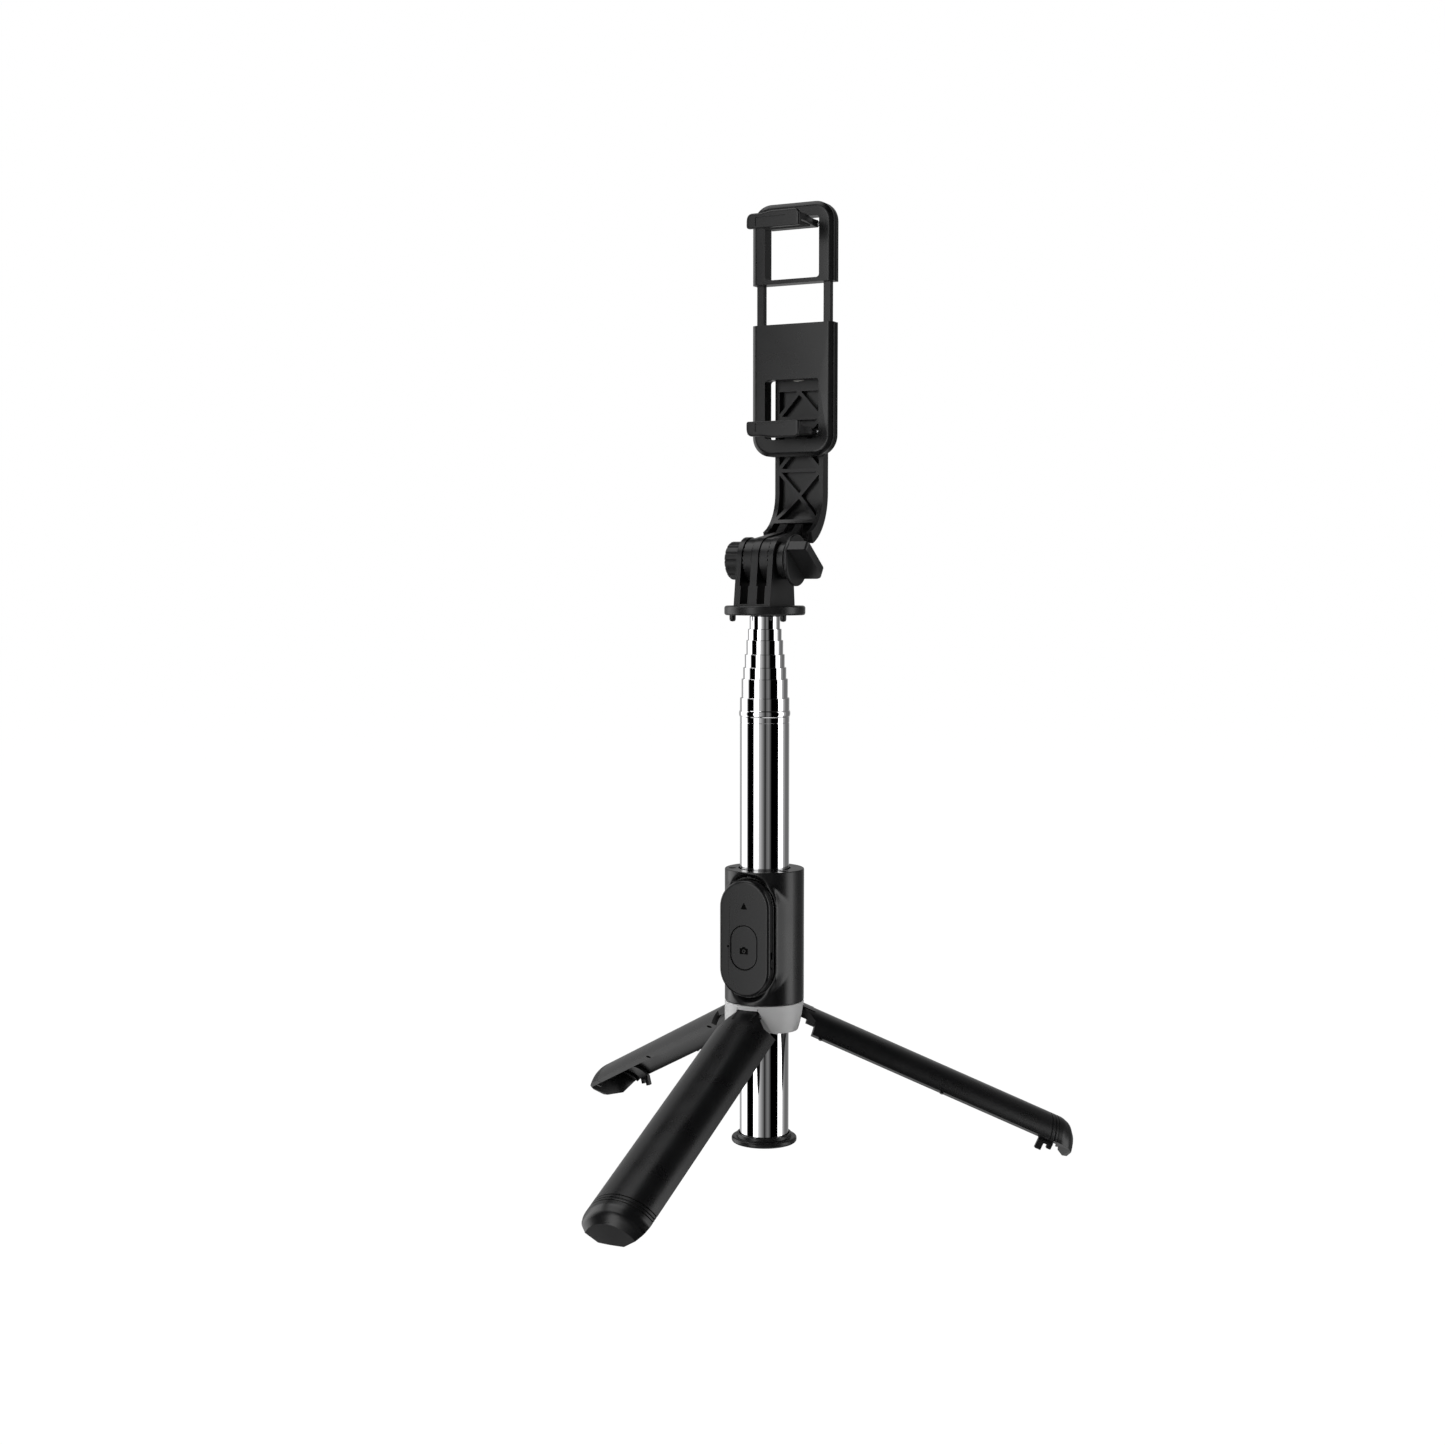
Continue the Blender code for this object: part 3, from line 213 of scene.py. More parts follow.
def grained(
    name, colour, rough, metallic=0.0, grain=0.22, depth=0.012, vary=0.25, drawn=1.0, specular=0.5
):
    """A Principled material with a moulded or drawn grain.

    rough is the (low, high) roughness, grain the grain's size and depth its height in
    millimetres, vary how far the colour strays, and drawn stretches the grain along Z.
    The colour and the roughness follow a broad noise between its two limits.
    """
    broad_size, limits = 9, (0.3, 0.7)
    made = bpy.data.materials.new(name)
    made.use_nodes = True
    tree = made.node_tree
    shader = tree.nodes["Principled BSDF"]
    shader.inputs["Metallic"].default_value = metallic
    shader.inputs["Specular IOR Level"].default_value = specular
    place = tree.nodes.new("ShaderNodeTexCoord")
    stretch = add(tree, "ShaderNodeMapping", Scale=(1.0, 1.0, 1.0 / drawn))
    tree.links.new(place.outputs["Object"], stretch.inputs["Vector"])
    fine = add(tree, "ShaderNodeTexNoise", Scale=1 / (grain * MM), Detail=2.0)
    broad = add(tree, "ShaderNodeTexNoise", Scale=1 / (broad_size * MM), Detail=4.0)
    for texture in (fine, broad):
        tree.links.new(stretch.outputs["Vector"], texture.inputs["Vector"])
    bump = add(tree, "ShaderNodeBump", Strength=0.35, Distance=depth * MM)
    tree.links.new(fine.outputs["Fac"], bump.inputs["Height"])
    tree.links.new(bump.outputs["Normal"], shader.inputs["Normal"])
    spread = tree.nodes.new("ShaderNodeMapRange")
    for name_of_input, value in zip(("From Min", "From Max", "To Min", "To Max"), limits + rough):
        spread.inputs[name_of_input].default_value = value
    tree.links.new(broad.outputs["Fac"], spread.inputs["Value"])
    tree.links.new(spread.outputs["Result"], shader.inputs["Roughness"])
    ramp = tree.nodes.new("ShaderNodeValToRGB")
    ends = ramp.color_ramp.elements
    ends[0].position, ends[1].position = limits
    ends[0].color = (*[c * (1 - vary) for c in colour], 1.0)
    ends[1].color = (*[min(1.0, c * (1 + vary)) for c in colour], 1.0)
    tree.links.new(broad.outputs["Fac"], ramp.inputs["Fac"])
    tree.links.new(ramp.outputs["Color"], shader.inputs["Base Color"])
    return made


LOOKS = {
    "chrome": grained("chrome", (0.88, 0.88, 0.89), (0.03, 0.06), 1.0, 0.15, 0.0002, 0.03, 60),
    "satin_black_plastic": grained(
        "satin_black", (0.006, 0.006, 0.0065), (0.26, 0.31), 0.0, 0.16, 0.003, 0.15, specular=0.42
    ),
    "black_plastic": grained(
        "black", (0.016, 0.016, 0.0165), (0.28, 0.34), grain=0.2, depth=0.004, specular=0.36
    ),
    "grey_satin": grained("grey", (0.62, 0.62, 0.62), (0.38, 0.44), 0.0, 0.14, 0.005, 0.03),
    "steel": grained("steel", (0.52, 0.52, 0.53), (0.2, 0.32), 1.0, 0.2, 0.004, 0.1, 8),
    "white_nylon": grained("nylon", (0.74, 0.73, 0.69), (0.42, 0.52), vary=0.05),
    "green_board": grained("board", (0.02, 0.12, 0.05), (0.35, 0.5), grain=0.4, vary=0.2),
    "nickel_cell": grained("cell", (0.66, 0.66, 0.64), (0.18, 0.3), 1.0, 0.3, 0.003, 0.08),
    "black_rubber": grained("rubber", (0.018, 0.018, 0.018), (0.7, 0.85), grain=0.3, depth=0.03),
}
INK = grained("ink", (0.001, 0.001, 0.001), (0.6, 0.7), grain=0.3, depth=0.002, specular=0.05)
INKED = {"slot": "satin_black_plastic", "look": INK}  # for a mark printed on the remote

# ---- shapes ----

SHOP = bpy.data.collections.new("shop")
bpy.context.scene.collection.children.link(SHOP)


def link(mesh):
    """An object of a mesh, kept out of renders until piece() takes it."""
    made = bpy.data.objects.new("shape", mesh)
    SHOP.objects.link(made)
    made.hide_render = True
    return made


def made_of(shape, matrix=None):
    """An object of a bmesh, turned by a matrix, with its faces pointing out."""
    if matrix is not None:
        bmesh.ops.transform(shape, matrix=matrix, verts=shape.verts)
    bmesh.ops.recalc_face_normals(shape, faces=shape.faces)
    mesh = bpy.data.meshes.new("shape")
    shape.to_mesh(mesh)
    shape.free()
    return link(mesh)


AXES = {
    "Z": Matrix.Identity(4),
    "Y": Matrix(((1, 0, 0, 0), (0, 0, 1, 0), (0, 1, 0, 0), (0, 0, 0, 1))),
    "X": Matrix(((0, 0, 1, 0), (1, 0, 0, 0), (0, 1, 0, 0), (0, 0, 0, 1))),
}


def loft(rings, axis="Z"):
    """A solid through rings of the same number of (a, b) points: [(height, points), ...]."""
    shape = bmesh.new()
    rows = [[shape.verts.new((a, b, height)) for a, b in points] for height, points in rings]
    shape.faces.new(rows[0][::-1])
    shape.faces.new(rows[-1])
    count = len(rows[0])
    for lower, upper in zip(rows, rows[1:]):
        for i in range(count):
            j = (i + 1) % count
            shape.faces.new((lower[i], lower[j], upper[j], upper[i]))
    return made_of(shape, AXES[axis])


def outline(points, low, high, axis="Z"):
    """A flat outline pushed from low to high: (x, y) for Z, (x, z) for Y, (y, z) for X."""
    return loft([(low, points), (high, points)], axis)


def box(x, y, z):
    """A box between two corners, given as (low, high) on each axis."""
    corners = [(x[0], y[0]), (x[1], y[0]), (x[1], y[1]), (x[0], y[1])]
    return outline(corners, *z)


def arc(centre, radius, start, end, steps):
    """Points on an arc, both ends included."""
    angles = [math.radians(start + (end - start) * i / steps) for i in range(steps + 1)]
    return [
        (centre[0] + radius * math.cos(a), centre[1] + radius * math.sin(a)) for a in angles
    ]


def circle(radius, centre=(0, 0), sides=64):
    """Points all round a circle."""
    return arc(centre, radius, 0, 360, sides)[:-1]


def rod(radius, low, high, at=(0, 0), axis="Z", sides=64):
    """A cylinder along an axis, at a point of the plane across it."""
    return outline(circle(radius, at, sides), low, high, axis)


def turned(profile, sides=128, closed=True):
    """A profile of (radius, z) points turned about Z."""
    shape = bmesh.new()
    rings = []
    for radius, z in profile:
        if radius < 0.001:
            rings.append([shape.verts.new((0, 0, z))] * sides)
            continue
        rings.append([shape.verts.new((x, y, z)) for x, y in circle(radius, sides=sides)])
    count = len(profile)
    for i in range(count if closed else count - 1):
        upper, lower = rings[i], rings[(i + 1) % count]
        for k in range(sides):
            m = (k + 1) % sides
            corners = list(dict.fromkeys((upper[k], lower[k], lower[m], upper[m])))
            if len(corners) > 2:
                shape.faces.new(corners)
    return made_of(shape)


def soften(points, radius, steps=4, closed=True):
    """An outline with its corners rounded. radius is one number or one for each corner."""
    nearly_straight, most = math.radians(86), 0.48
    count = len(points)
    radii = radius if isinstance(radius, (list, tuple)) else [radius] * count
    result = []
    for i, (here, size) in enumerate(zip(points, radii)):
        p = Vector(here)
        a, b = Vector(points[i - 1]) - p, Vector(points[(i + 1) % count]) - p
        end = not closed and i in (0, count - 1)
        if end or size <= 0 or a.length < 1e-6 or b.length < 1e-6:
            result.append(here)
            continue
        half = a.angle(b) / 2
        if half > nearly_straight:
            result.append(here)
            continue
        reach = min(size / math.tan(half), most * a.length, most * b.length)
        start = p + a.normalized() * reach
        stop = p + b.normalized() * reach
        centre = p + (a.normalized() + b.normalized()).normalized() * (reach / math.cos(half))
        first, last = start - centre, stop - centre
        turn = first.angle_signed(last)
        for k in range(steps + 1):
            angle = -turn * k / steps
            spun = Matrix.Rotation(angle, 2) @ first
            result.append(tuple(centre + spun))
    return result


def soften_each(corners, **options):
    """soften() for corners that are given as (a, b, rounding)."""
    return soften([corner[:2] for corner in corners], [corner[2] for corner in corners], **options)


def turned_solid(corners, steps=4, sides=128):
    """A solid turned about Z, from (radius, z, rounding) corners between two points of Z."""
    return turned(soften_each(corners, steps=steps, closed=False), sides, closed=False)


def stadium(half_width, low, high, steps=28):
    """An upright slot outline as (x, z) points."""
    upper = arc((0, high - half_width), half_width, 0, 180, steps)
    lower = arc((0, low + half_width), half_width, 180, 360, steps)
    return upper + lower


def rounded(half_width, low, high, corner, top=True, bottom=True, steps=16):
    """A rectangle with rounded corners at the top, the bottom or both."""
    points = []
    reach = half_width - corner
    for side, level, round_it in ((1, high, top), (-1, low, bottom)):
        if not round_it:
            points += [(side * half_width, level), (-side * half_width, level)]
            continue
        start = 0 if side > 0 else 180
        height = level - side * corner
        points += arc((side * reach, height), corner, start, start + 90, steps)
        points += arc((-side * reach, height), corner, start + 90, start + 180, steps)
    return points


def combine(made, other, operation):
    """Add a Boolean modifier and return the object."""
    step = made.modifiers.new("boolean", "BOOLEAN")
    step.operation = operation
    step.object = other
    step.solver = "MANIFOLD"
    return made


def cut(made, *cutters):
    """Cut shapes away from an object."""
    for cutter in cutters:
        combine(made, cutter, "DIFFERENCE")
    return made


def join(made, *others):
    """Join shapes to an object."""
    for other in others:
        combine(made, other, "UNION")
    return made


def applied(made):
    """Replace an object's mesh by its evaluated mesh and drop the modifiers."""
    same = 0.0005
    bpy.context.view_layer.update()
    graph = bpy.context.evaluated_depsgraph_get()
    mesh = bpy.data.meshes.new_from_object(made.evaluated_get(graph))
    shape = bmesh.new()
    shape.from_mesh(mesh)
    bmesh.ops.remove_doubles(shape, verts=shape.verts, dist=same)
    bmesh.ops.dissolve_degenerate(shape, dist=same, edges=shape.edges)
    shape.to_mesh(mesh)
    shape.free()
    made.modifiers.clear()
    made.data = mesh
    return made


def moved(made, matrix):
    """Move an object's mesh by a matrix, in millimetres."""
    made.data.transform(matrix)
    return made


def mirrored(side, low, high):
    """A stretch of X on the right (side 1), or its mirror image on the left (side -1)."""
    return sorted((side * low, side * high))


NODE_BODY = {
    node: body for body, nodes in frame["record"]["behaviour"]["bodies"].items() for node in nodes
}
NODE_SLOT = {part["node"]: part["material_slot"] for part in frame["record"]["subparts"]}
REPLACED = set()


def dress(mesh, look):
    """Give a mesh one material."""
    mesh.materials.clear()
    mesh.materials.append(look)


def piece(
    made, name, node=None, slot=None, body=None, edge=0.2, segments=3, look=None, place=None
):
    """Make a shape one of the object's pieces: metres, softened edges, material and body.

    With node, the piece stands for that CAD node and takes its slot and body. edge is the
    width that sharp edges are rounded to, in millimetres.
    """
    slot = slot or NODE_SLOT[node]
    applied(made)
    if place is not None:
        made.data.transform(place)
    made.data.transform(Matrix.Scale(MM, 4))
    dress(made.data, look or LOOKS[slot])
    made.data.shade_smooth()
    made.data.set_sharp_from_angle(angle=SHARP)
    if edge:
        bevel = made.modifiers.new("edge", "BEVEL")
        bevel.width = edge * MM
        bevel.segments = segments
        bevel.limit_method = "ANGLE"
        bevel.angle_limit = SHARP
        bevel.use_clamp_overlap = True
        bevel.miter_outer = "MITER_ARC"
    normals = made.modifiers.new("normals", "WEIGHTED_NORMAL")
    normals.keep_sharp = True
    SHOP.objects.unlink(made)
    bpy.context.scene.collection.objects.link(made)
    made.hide_render = False
    made.name = name
    made.data.name = name
    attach(made, body or NODE_BODY[node])
    if node:
        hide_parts(node)
        REPLACED.add(node)
    return made


# ---- pole ----


def bead_profile(outer):
    """The outer tube's bead and the fine groove below it, as (radius, z) points going down."""
    low, high = BEAD_Z
    blend, depth, steps = 0.2, 0.12, 12
    points = [(outer, high + blend)]
    for step in range(steps + 1):
        share = step / steps
        rise = (BEAD_R - outer) * math.sin(math.pi * share) ** 0.6
        points.append((outer + rise, high - (high - low) * share))
    points.append((outer, low - blend))
    groove = (low + high) / 2 - GROOVE_DROP
    return points + [(outer, groove + blend), (outer - depth, groove), (outer, groove - blend)]


def build_pole():
    """Seven chromed tubes with rolled edges, and the base disc."""
    roll, lip_drop, lip_start, lip_end = 0.3, 0.05, 0.6, 0.9
    for level, name in enumerate(TUBES):
        outer, top, bottom = TUBE_R[level], TUBE_TOP[level], TUBE_BOTTOM[level]
        inner = outer - TUBE_WALL
        profile = arc((outer - roll, top - roll), roll, 60, 0, 5)
        if level == 0:
            profile += bead_profile(outer)
        profile += [(outer, bottom), (inner, bottom)]
        if name == TUBES[-1]:
            profile += [(inner, top - lip_drop)]
        else:
            lip = TUBE_R[level + 1] + SLIP
            profile += [(inner, top - lip_end), (lip, top - lip_start), (lip, top - lip_drop)]
        piece(turned(profile), f"tube_{level + 1}", name, edge=0)

    ring_in = TUBE_R[0] + GAP
    plug = TUBE_R[0] - TUBE_WALL - SLIP
    hollow, hollow_slope, hollow_z = 1.6, 0.2, 0.35
    corners = [  # (radius, z, rounding)
        (0, BASE_PLUG_TOP, 0),
        (plug, BASE_PLUG_TOP, 0.6),
        (plug, BASE_THICK, 0),
        (ring_in, BASE_THICK, 0),
        (ring_in, BASE_RING_TOP, 0.2),
        (BASE_RING_R, BASE_RING_TOP, 0.3),
        (BASE_RING_R, BASE_THICK, 0.3),
        (BASE_R, BASE_THICK, 0.8),
        (BASE_R, 0, 0.8),
        (BASE_R - hollow, 0, 0.2),
        (BASE_R - hollow - hollow_slope, hollow_z, 0.2),
        (0, hollow_z, 0),
    ]
    piece(turned_solid(corners), "base_disc_skin", "base_disc", edge=0)


# ---- collar and housing ----


def leg_turn(azimuth):
    """The turn that brings a leg's own frame, crown towards +Y, to its azimuth."""
    return Matrix.Rotation(math.radians(azimuth - 90), 4, "Z")


def circle_spot(radius, azimuth):
    """The point at a radius and an azimuth in degrees."""
    angle = math.radians(azimuth)
    return radius * math.cos(angle), radius * math.sin(angle)


def collar_screw(spot):
    """A screw with a hexagon socket, seen from below."""
    low = COLLAR_Z[0]
    head_r, shank_r, socket_r = 1.9, 0.9, 0.8
    screw = rod(head_r, low + 0.3, low + 2.0, spot)
    join(screw, rod(shank_r, low + 1.5, COLLAR_SCREW_TOP, spot, sides=24))
    return cut(screw, rod(socket_r, low - 1, low + 1.2, spot, sides=6))


def build_collar():
    """The grey collar with the legs' mouths, and its screws and hinge pins."""
    low, high = COLLAR_Z
    corners = [  # (radius, z, rounding)
        (HANDLE_R, high, 0.35),
        (HANDLE_R, low, 0.9),
        (COLLAR_BORE, low, 0.3),
        (COLLAR_BORE, high, 0.2),
    ]
    collar = turned(soften_each(corners), sides=144)
    half, wide = TONGUE_HALF + GAP, SHOULDER_HALF + GAP
    rim, past, flare, tab = low - 0.02, low - 2, 3, 2.4
    corners = [(-half, MOUTH_TOP), (-wide, rim), (-wide - flare, rim), (-wide - flare, past)]
    corners += [(-x, z) for x, z in corners[::-1]]
    mouth_outline = soften(corners, [0.5, tab, 0, 0, 0, 0, tab, 0.5], steps=8)
    roof_z = HINGE_Z + KNUCKLE_R + GAP
    hinge = (HINGE_RADIUS, HINGE_Z)
    for side, azimuth in LEG_AZIMUTH.items():
        mouth = outline(mouth_outline, 9.9, 17, "Y")
        pocket = box((-half, half), (10.1, 14.4), (MOUTH_TOP - 1, roof_z))
        reach = HINGE_PIN_HALF + 0.1
        hole = rod(HINGE_PIN_R + 0.06, -reach, reach, hinge, "X", 24)
        turn = leg_turn(azimuth)
        for cutter in (mouth, pocket, hole):
            cut(collar, moved(cutter, turn))
        pin = rod(HINGE_PIN_R, -HINGE_PIN_HALF, HINGE_PIN_HALF, hinge, "X", 32)
        name = f"leg_hinge_pin_{side}"
        piece(moved(pin, turn), f"{name}_round", name, edge=0.15)
    hole_r, sink_r, sink = 1.2, 2.1, 2.3
    for number, azimuth in enumerate(DOCK_ANGLES, 1):
        spot = circle_spot(COLLAR_SCREW_CIRCLE, azimuth)
        cut(collar, rod(hole_r, low - 1, high + 1, spot), rod(sink_r, low - 1, low + sink, spot))
        name = f"collar_screw_{number}"
        piece(collar_screw(spot), f"{name}_head", name, edge=0.2)
    piece(collar, "collar_skin", "tripod_collar", edge=0.25)


def housing_radius(angle, z):
    """The housing's outer radius at an angle from the front and a height.

    Round the remote a flat bezel runs into the round wall.
    """
    rim, margin, furthest, sideways = 10.7, 1.0, 17.3, 1.4
    run_across, run_above, run_below = 6.5, 1.5, 2.0
    if abs(angle) > sideways:
        return HANDLE_R
    across = HANDLE_R * angle
    nearest = min(max(z, REMOTE_Z[0] - margin + rim), REMOTE_Z[1] + margin - rim)
    away = z - nearest
    distance = math.hypot(across, away) - rim
    plane = min(-BEZEL_FRONT / math.cos(angle), furthest)
    if distance <= 0:
        return plane
    steep = math.atan2(abs(away), abs(across))
    run_up = run_above if away > 0 else run_below
    run = 1 / math.hypot(math.cos(steep) / run_across, math.sin(steep) / run_up)
    left = 1 - min(distance / run, 1.0)
    return HANDLE_R + (plane - HANDLE_R) * left * left


def housing_skin():
    """The housing's outside as one closed shape, with finer steps round the remote."""
    low, high = HOUSING_Z
    front, behind, count = 72, 60, 120
    angles = [math.radians(a) for a in range(-front, front + 1)]
    angles += [math.radians(front + (360 - 2 * front) * i / behind) for i in range(1, behind)]
    edge, foot = 0.45, 0.15
    start, stop = low + 0.5, high - edge - 0.1
    rows = [(low, foot), (low + foot, 0.0)]
    rows += [(start + (stop - start) * i / count, 0.0) for i in range(count + 1)]
    rows += [(high - edge + y, edge - x) for x, y in arc((0, 0), edge, 0, 90, 5)]
    rings = []
    for z, inset in rows:
        points = []
        for angle in angles:
            wrapped = (angle + math.pi) % (2 * math.pi) - math.pi
            radius = housing_radius(wrapped, z) - inset
            points.append((radius * math.sin(angle), -radius * math.cos(angle)))
        rings.append((z, points))
    return loft(rings)


def build_housing():
    """The housing with the remote's pocket, the pole's bore and the docking holes."""
    low, high = HOUSING_Z
    housing = housing_skin()
    pocket = stadium(REMOTE_R + GAP, REMOTE_Z[0] - GAP, REMOTE_Z[1] + GAP)
    cut(housing, outline(pocket, -20, POCKET_FLOOR, "Y"))
    step = high - TOP_HOLE_DEPTH
    cut(housing, rod(TOP_HOLE_R, step, high + 1, sides=128))
    cut(housing, rod(BORE_R, low - 1, step + 0.5, sides=128))
    for azimuth in DOCK_ANGLES:
        spot = circle_spot(DOCK_CIRCLE, azimuth)
        cut(housing, rod(DOCK_HOLE_R, high - DOCK_HOLE_DEPTH, high + 1, spot, sides=32))
    piece(housing, "housing_skin", "handle_housing", edge=0.18)


# ---- remote ----


def pill(half, low, high, front, back, soft, steps=6):
    """A stadium slab with its front edge rounded, standing across Y."""
    rings = [(back, stadium(half, low, high))]
    for x, y in arc((0, 0), soft, 0, 90, steps):
        inset = soft - x
        rings.append((front + soft - y, stadium(half - inset, low + inset, high - inset)))
    return loft(rings, "Y")


def build_remote():
    """The remote's two shells, button and switch."""
    low, high = REMOTE_Z
    front = pill(REMOTE_R, low, high, REMOTE_FRONT, REMOTE_SPLIT, 1.1)
    clear = 0.22
    opening = stadium(BUTTON_R + clear, BUTTON_Z[0] - clear, BUTTON_Z[1] + clear)
    cut(front, outline(opening, REMOTE_FRONT - 1, BUTTON_WELL, "Y"))
    slot = stadium(SWITCH_SLOT_HALF, *SWITCH_SLOT_Z, steps=10)
    slot = [(SWITCH_SLOT_Y + y, z) for y, z in slot]
    cut(front, outline(slot, REMOTE_R - 1.5, REMOTE_R + 1, "X"))
    led, led_hole, lens_r = (-6.5, 77.1), 0.42, 0.36
    cut(front, rod(led_hole, REMOTE_FRONT - 1, REMOTE_FRONT + 0.5, led, "Y", 24))
    lens = rod(lens_r, REMOTE_FRONT + 0.12, REMOTE_FRONT + 0.45, led, "Y", 24)
    piece(lens, "led_lens", body="remote", edge=0.05, segments=2, **INKED)
    piece(front, "remote_face", "remote_front_shell", edge=0.1, segments=2)
    wall = 1
    inside = stadium(REMOTE_R - wall, low + wall, high - wall)
    rear = outline(stadium(REMOTE_R, low, high), REMOTE_SPLIT + GAP, REMOTE_BACK, "Y")
    cut(rear, outline(inside, REMOTE_SPLIT - 1, REMOTE_BACK - wall, "Y"))
    piece(rear, "remote_back", "remote_rear_shell", edge=0.3)
    button = pill(BUTTON_R, *BUTTON_Z, *BUTTON_Y, 0.35)
    piece(button, "shutter_pill", "shutter_button", edge=0.05, segments=1)
    slider = box((9.2, 10.55), (-15.7, -14.6), (70.0, 73.0))
    for ridge in (70.8, 71.5, 72.2):
        cut(slider, box((10.4, 11), (-16, -14), (ridge - 0.12, ridge + 0.12)))
    piece(slider, "power_slider", "power_switch", edge=0.1, segments=2)


def build_marks():
    """The marks printed on the remote: an arrow, and a camera on the button."""
    arrow_z, arrow = 92.6, 1.35
    foot_z = arrow_z - arrow * 0.9
    tip = soften([(0, arrow_z + arrow), (-arrow, foot_z), (arrow, foot_z)], 0.15)
    mark = outline(tip, REMOTE_FRONT - PRINT, REMOTE_FRONT + 0.2, "Y")
    piece(mark, "arrow_mark", body="remote", edge=0, **INKED)
    icon_z, half = 75.9, 1.7
    shoulder, top = icon_z + 0.9, icon_z + 1.4
    right = [(half, icon_z - 1.3), (half, shoulder), (0.8, shoulder), (0.55, top)]
    case = soften(right + [(-x, z) for x, z in right[::-1]], 0.25)
    print_y = (BUTTON_Y[0] - PRINT, BUTTON_Y[0] + 0.15)
    eye = (0, icon_z - 0.2)
    icon = outline(case, *print_y, "Y")
    cut(icon, rod(0.72, -18, -17, eye, "Y", 32))
    join(icon, rod(0.36, *print_y, eye, "Y", 24))
    piece(icon, "camera_mark", body="shutter", edge=0, **INKED)


# ---- legs ----


def sector(inner, outer, start, end, low, high, steps=40):
    """A ring sector about the pole, between two angles from the +Y crown."""
    points = arc((0, 0), outer, 90 + start, 90 + end, steps)
    points += arc((0, 0), inner, 90 + end, 90 + start, steps)
    return outline(points, low, high)


def leg_shell():
    """A leg's shell with its tongue, knuckle, pegs and dimples, hanging folded."""
    top = HINGE_Z + 6
    split = HINGE_Z - FOOT_START
    shell = sector(LEG_INNER_R, HANDLE_R, -LEG_HALF, LEG_HALF, split, top)
    for side in (-1, 1):
        corner = [
            (side * TONGUE_HALF, top + 1),
            (side * TONGUE_HALF, HINGE_Z - SHOULDER_U),
            (side * SHOULDER_HALF, HINGE_Z - ROOT_U),
            (side * 20, HINGE_Z - ROOT_U),
            (side * 20, top + 1),
        ]
        cut(shell, outline(soften(corner, [0, 0.8, 1.2, 0, 0]), 0, 20, "Y"))
    cut(shell, box((-20, 20), (0, 20), (HINGE_Z, top + 2)))
    cut(shell, box((-20, 20), (0, 10.2), (HINGE_Z - ROOT_U, top + 2)))
    cut(shell, box((-20, 20), (TONGUE_V[1], 20), (HINGE_Z - SHOULDER_U, top)))
    tongue = box((-TONGUE_HALF, TONGUE_HALF), TONGUE_V, (HINGE_Z - 6.5, HINGE_Z))
    knuckle = rod(KNUCKLE_R, -TONGUE_HALF, TONGUE_HALF, (HINGE_RADIUS, HINGE_Z), "X", 48)
    join(shell, tongue, knuckle)
    cut(shell, rod(HINGE_PIN_R + 0.08, -6, 6, (HINGE_RADIUS, HINGE_Z), "X", 24))
    mid_r = (LEG_INNER_R + HANDLE_R) / 2
    for drop in PEG_DROPS:
        for side in (-1, 1):
            radius, reach = (0.7, 0.45) if side > 0 else (1.0, 0.7)
            peg = rod(radius, -reach, reach, axis="X", sides=24)
            angle = math.radians(-side * LEG_HALF)
            spot = (-mid_r * math.sin(angle), mid_r * math.cos(angle), HINGE_Z - drop)
            moved(peg, Matrix.Translation(spot) @ Matrix.Rotation(angle, 4, "Z"))
            combine(shell, peg, "UNION" if side > 0 else "DIFFERENCE")
    return applied(shell)


def leg_foot():
    """The grooved end cap with its rounded nose, flat where it meets the ground.

    Its corners are (radius, distance from the hinge, rounding).
    """
    corners = [(0, FOOT_START + GAP, 0), (HANDLE_R, FOOT_START + GAP, 0.15)]
    depth, mouth, bottom = 0.3, 0.22, 0.14
    for groove in (108.0, 109.3):
        corners += [
            (HANDLE_R, groove - mouth, 0.08),
            (HANDLE_R - depth, groove - bottom, 0.05),
            (HANDLE_R - depth, groove + bottom, 0.05),
            (HANDLE_R, groove + mouth, 0.08),
        ]
    corners += [
        (HANDLE_R, 111.6, 5),
        (14.0, 114.8, 4),
        (11.2, 117.1, 0),
        (0, LEG_END - 0.3, 0),
    ]
    corners = [(radius, HINGE_Z - away, rounding) for radius, away, rounding in corners]
    foot = turned_solid(corners, 6, 144)
    top = HINGE_Z - FOOT_START + 1
    tall = 12
    well = [(0, 0), (LEG_INNER_R, 0), (LEG_INNER_R, tall), (0, tall)]
    well = soften(well, [0, 0.8, 0, 0], closed=False)
    well = [(r, HINGE_Z - FOOT_FLOOR + z) for r, z in well]
    cut(foot, turned(well, sides=144, closed=False))
    rim, rim_r = HINGE_Z - 111.4, 10.4
    join(foot, sector(rim_r, LEG_INNER_R + 0.3, -LEG_HALF, LEG_HALF, rim, rim + 0.8))
    boss, boss_r, boss_top = (0, LEG_INNER_R - 2.2), 1.5, HINGE_Z - 113.6
    join(foot, rod(boss_r, HINGE_Z - FOOT_FLOOR - 0.5, boss_top, boss, sides=32))
    wedge = sector(0.01, 30, -LEG_HALF, LEG_HALF, HINGE_Z - LEG_END - 1, top, 12)
    combine(foot, wedge, "INTERSECT")
    block = box((-30, 30), (-80, 80), (-60, 0))
    under = Matrix.Translation((0, LEG_END, GROUND_Z))
    hinge = Matrix.Translation((0, HINGE_RADIUS, HINGE_Z))
    swing = Matrix.Rotation(math.radians(-LEG_OPEN), 4, "X")
    cut(foot, moved(block, hinge @ swing @ hinge.inverted() @ under))
    return applied(foot)


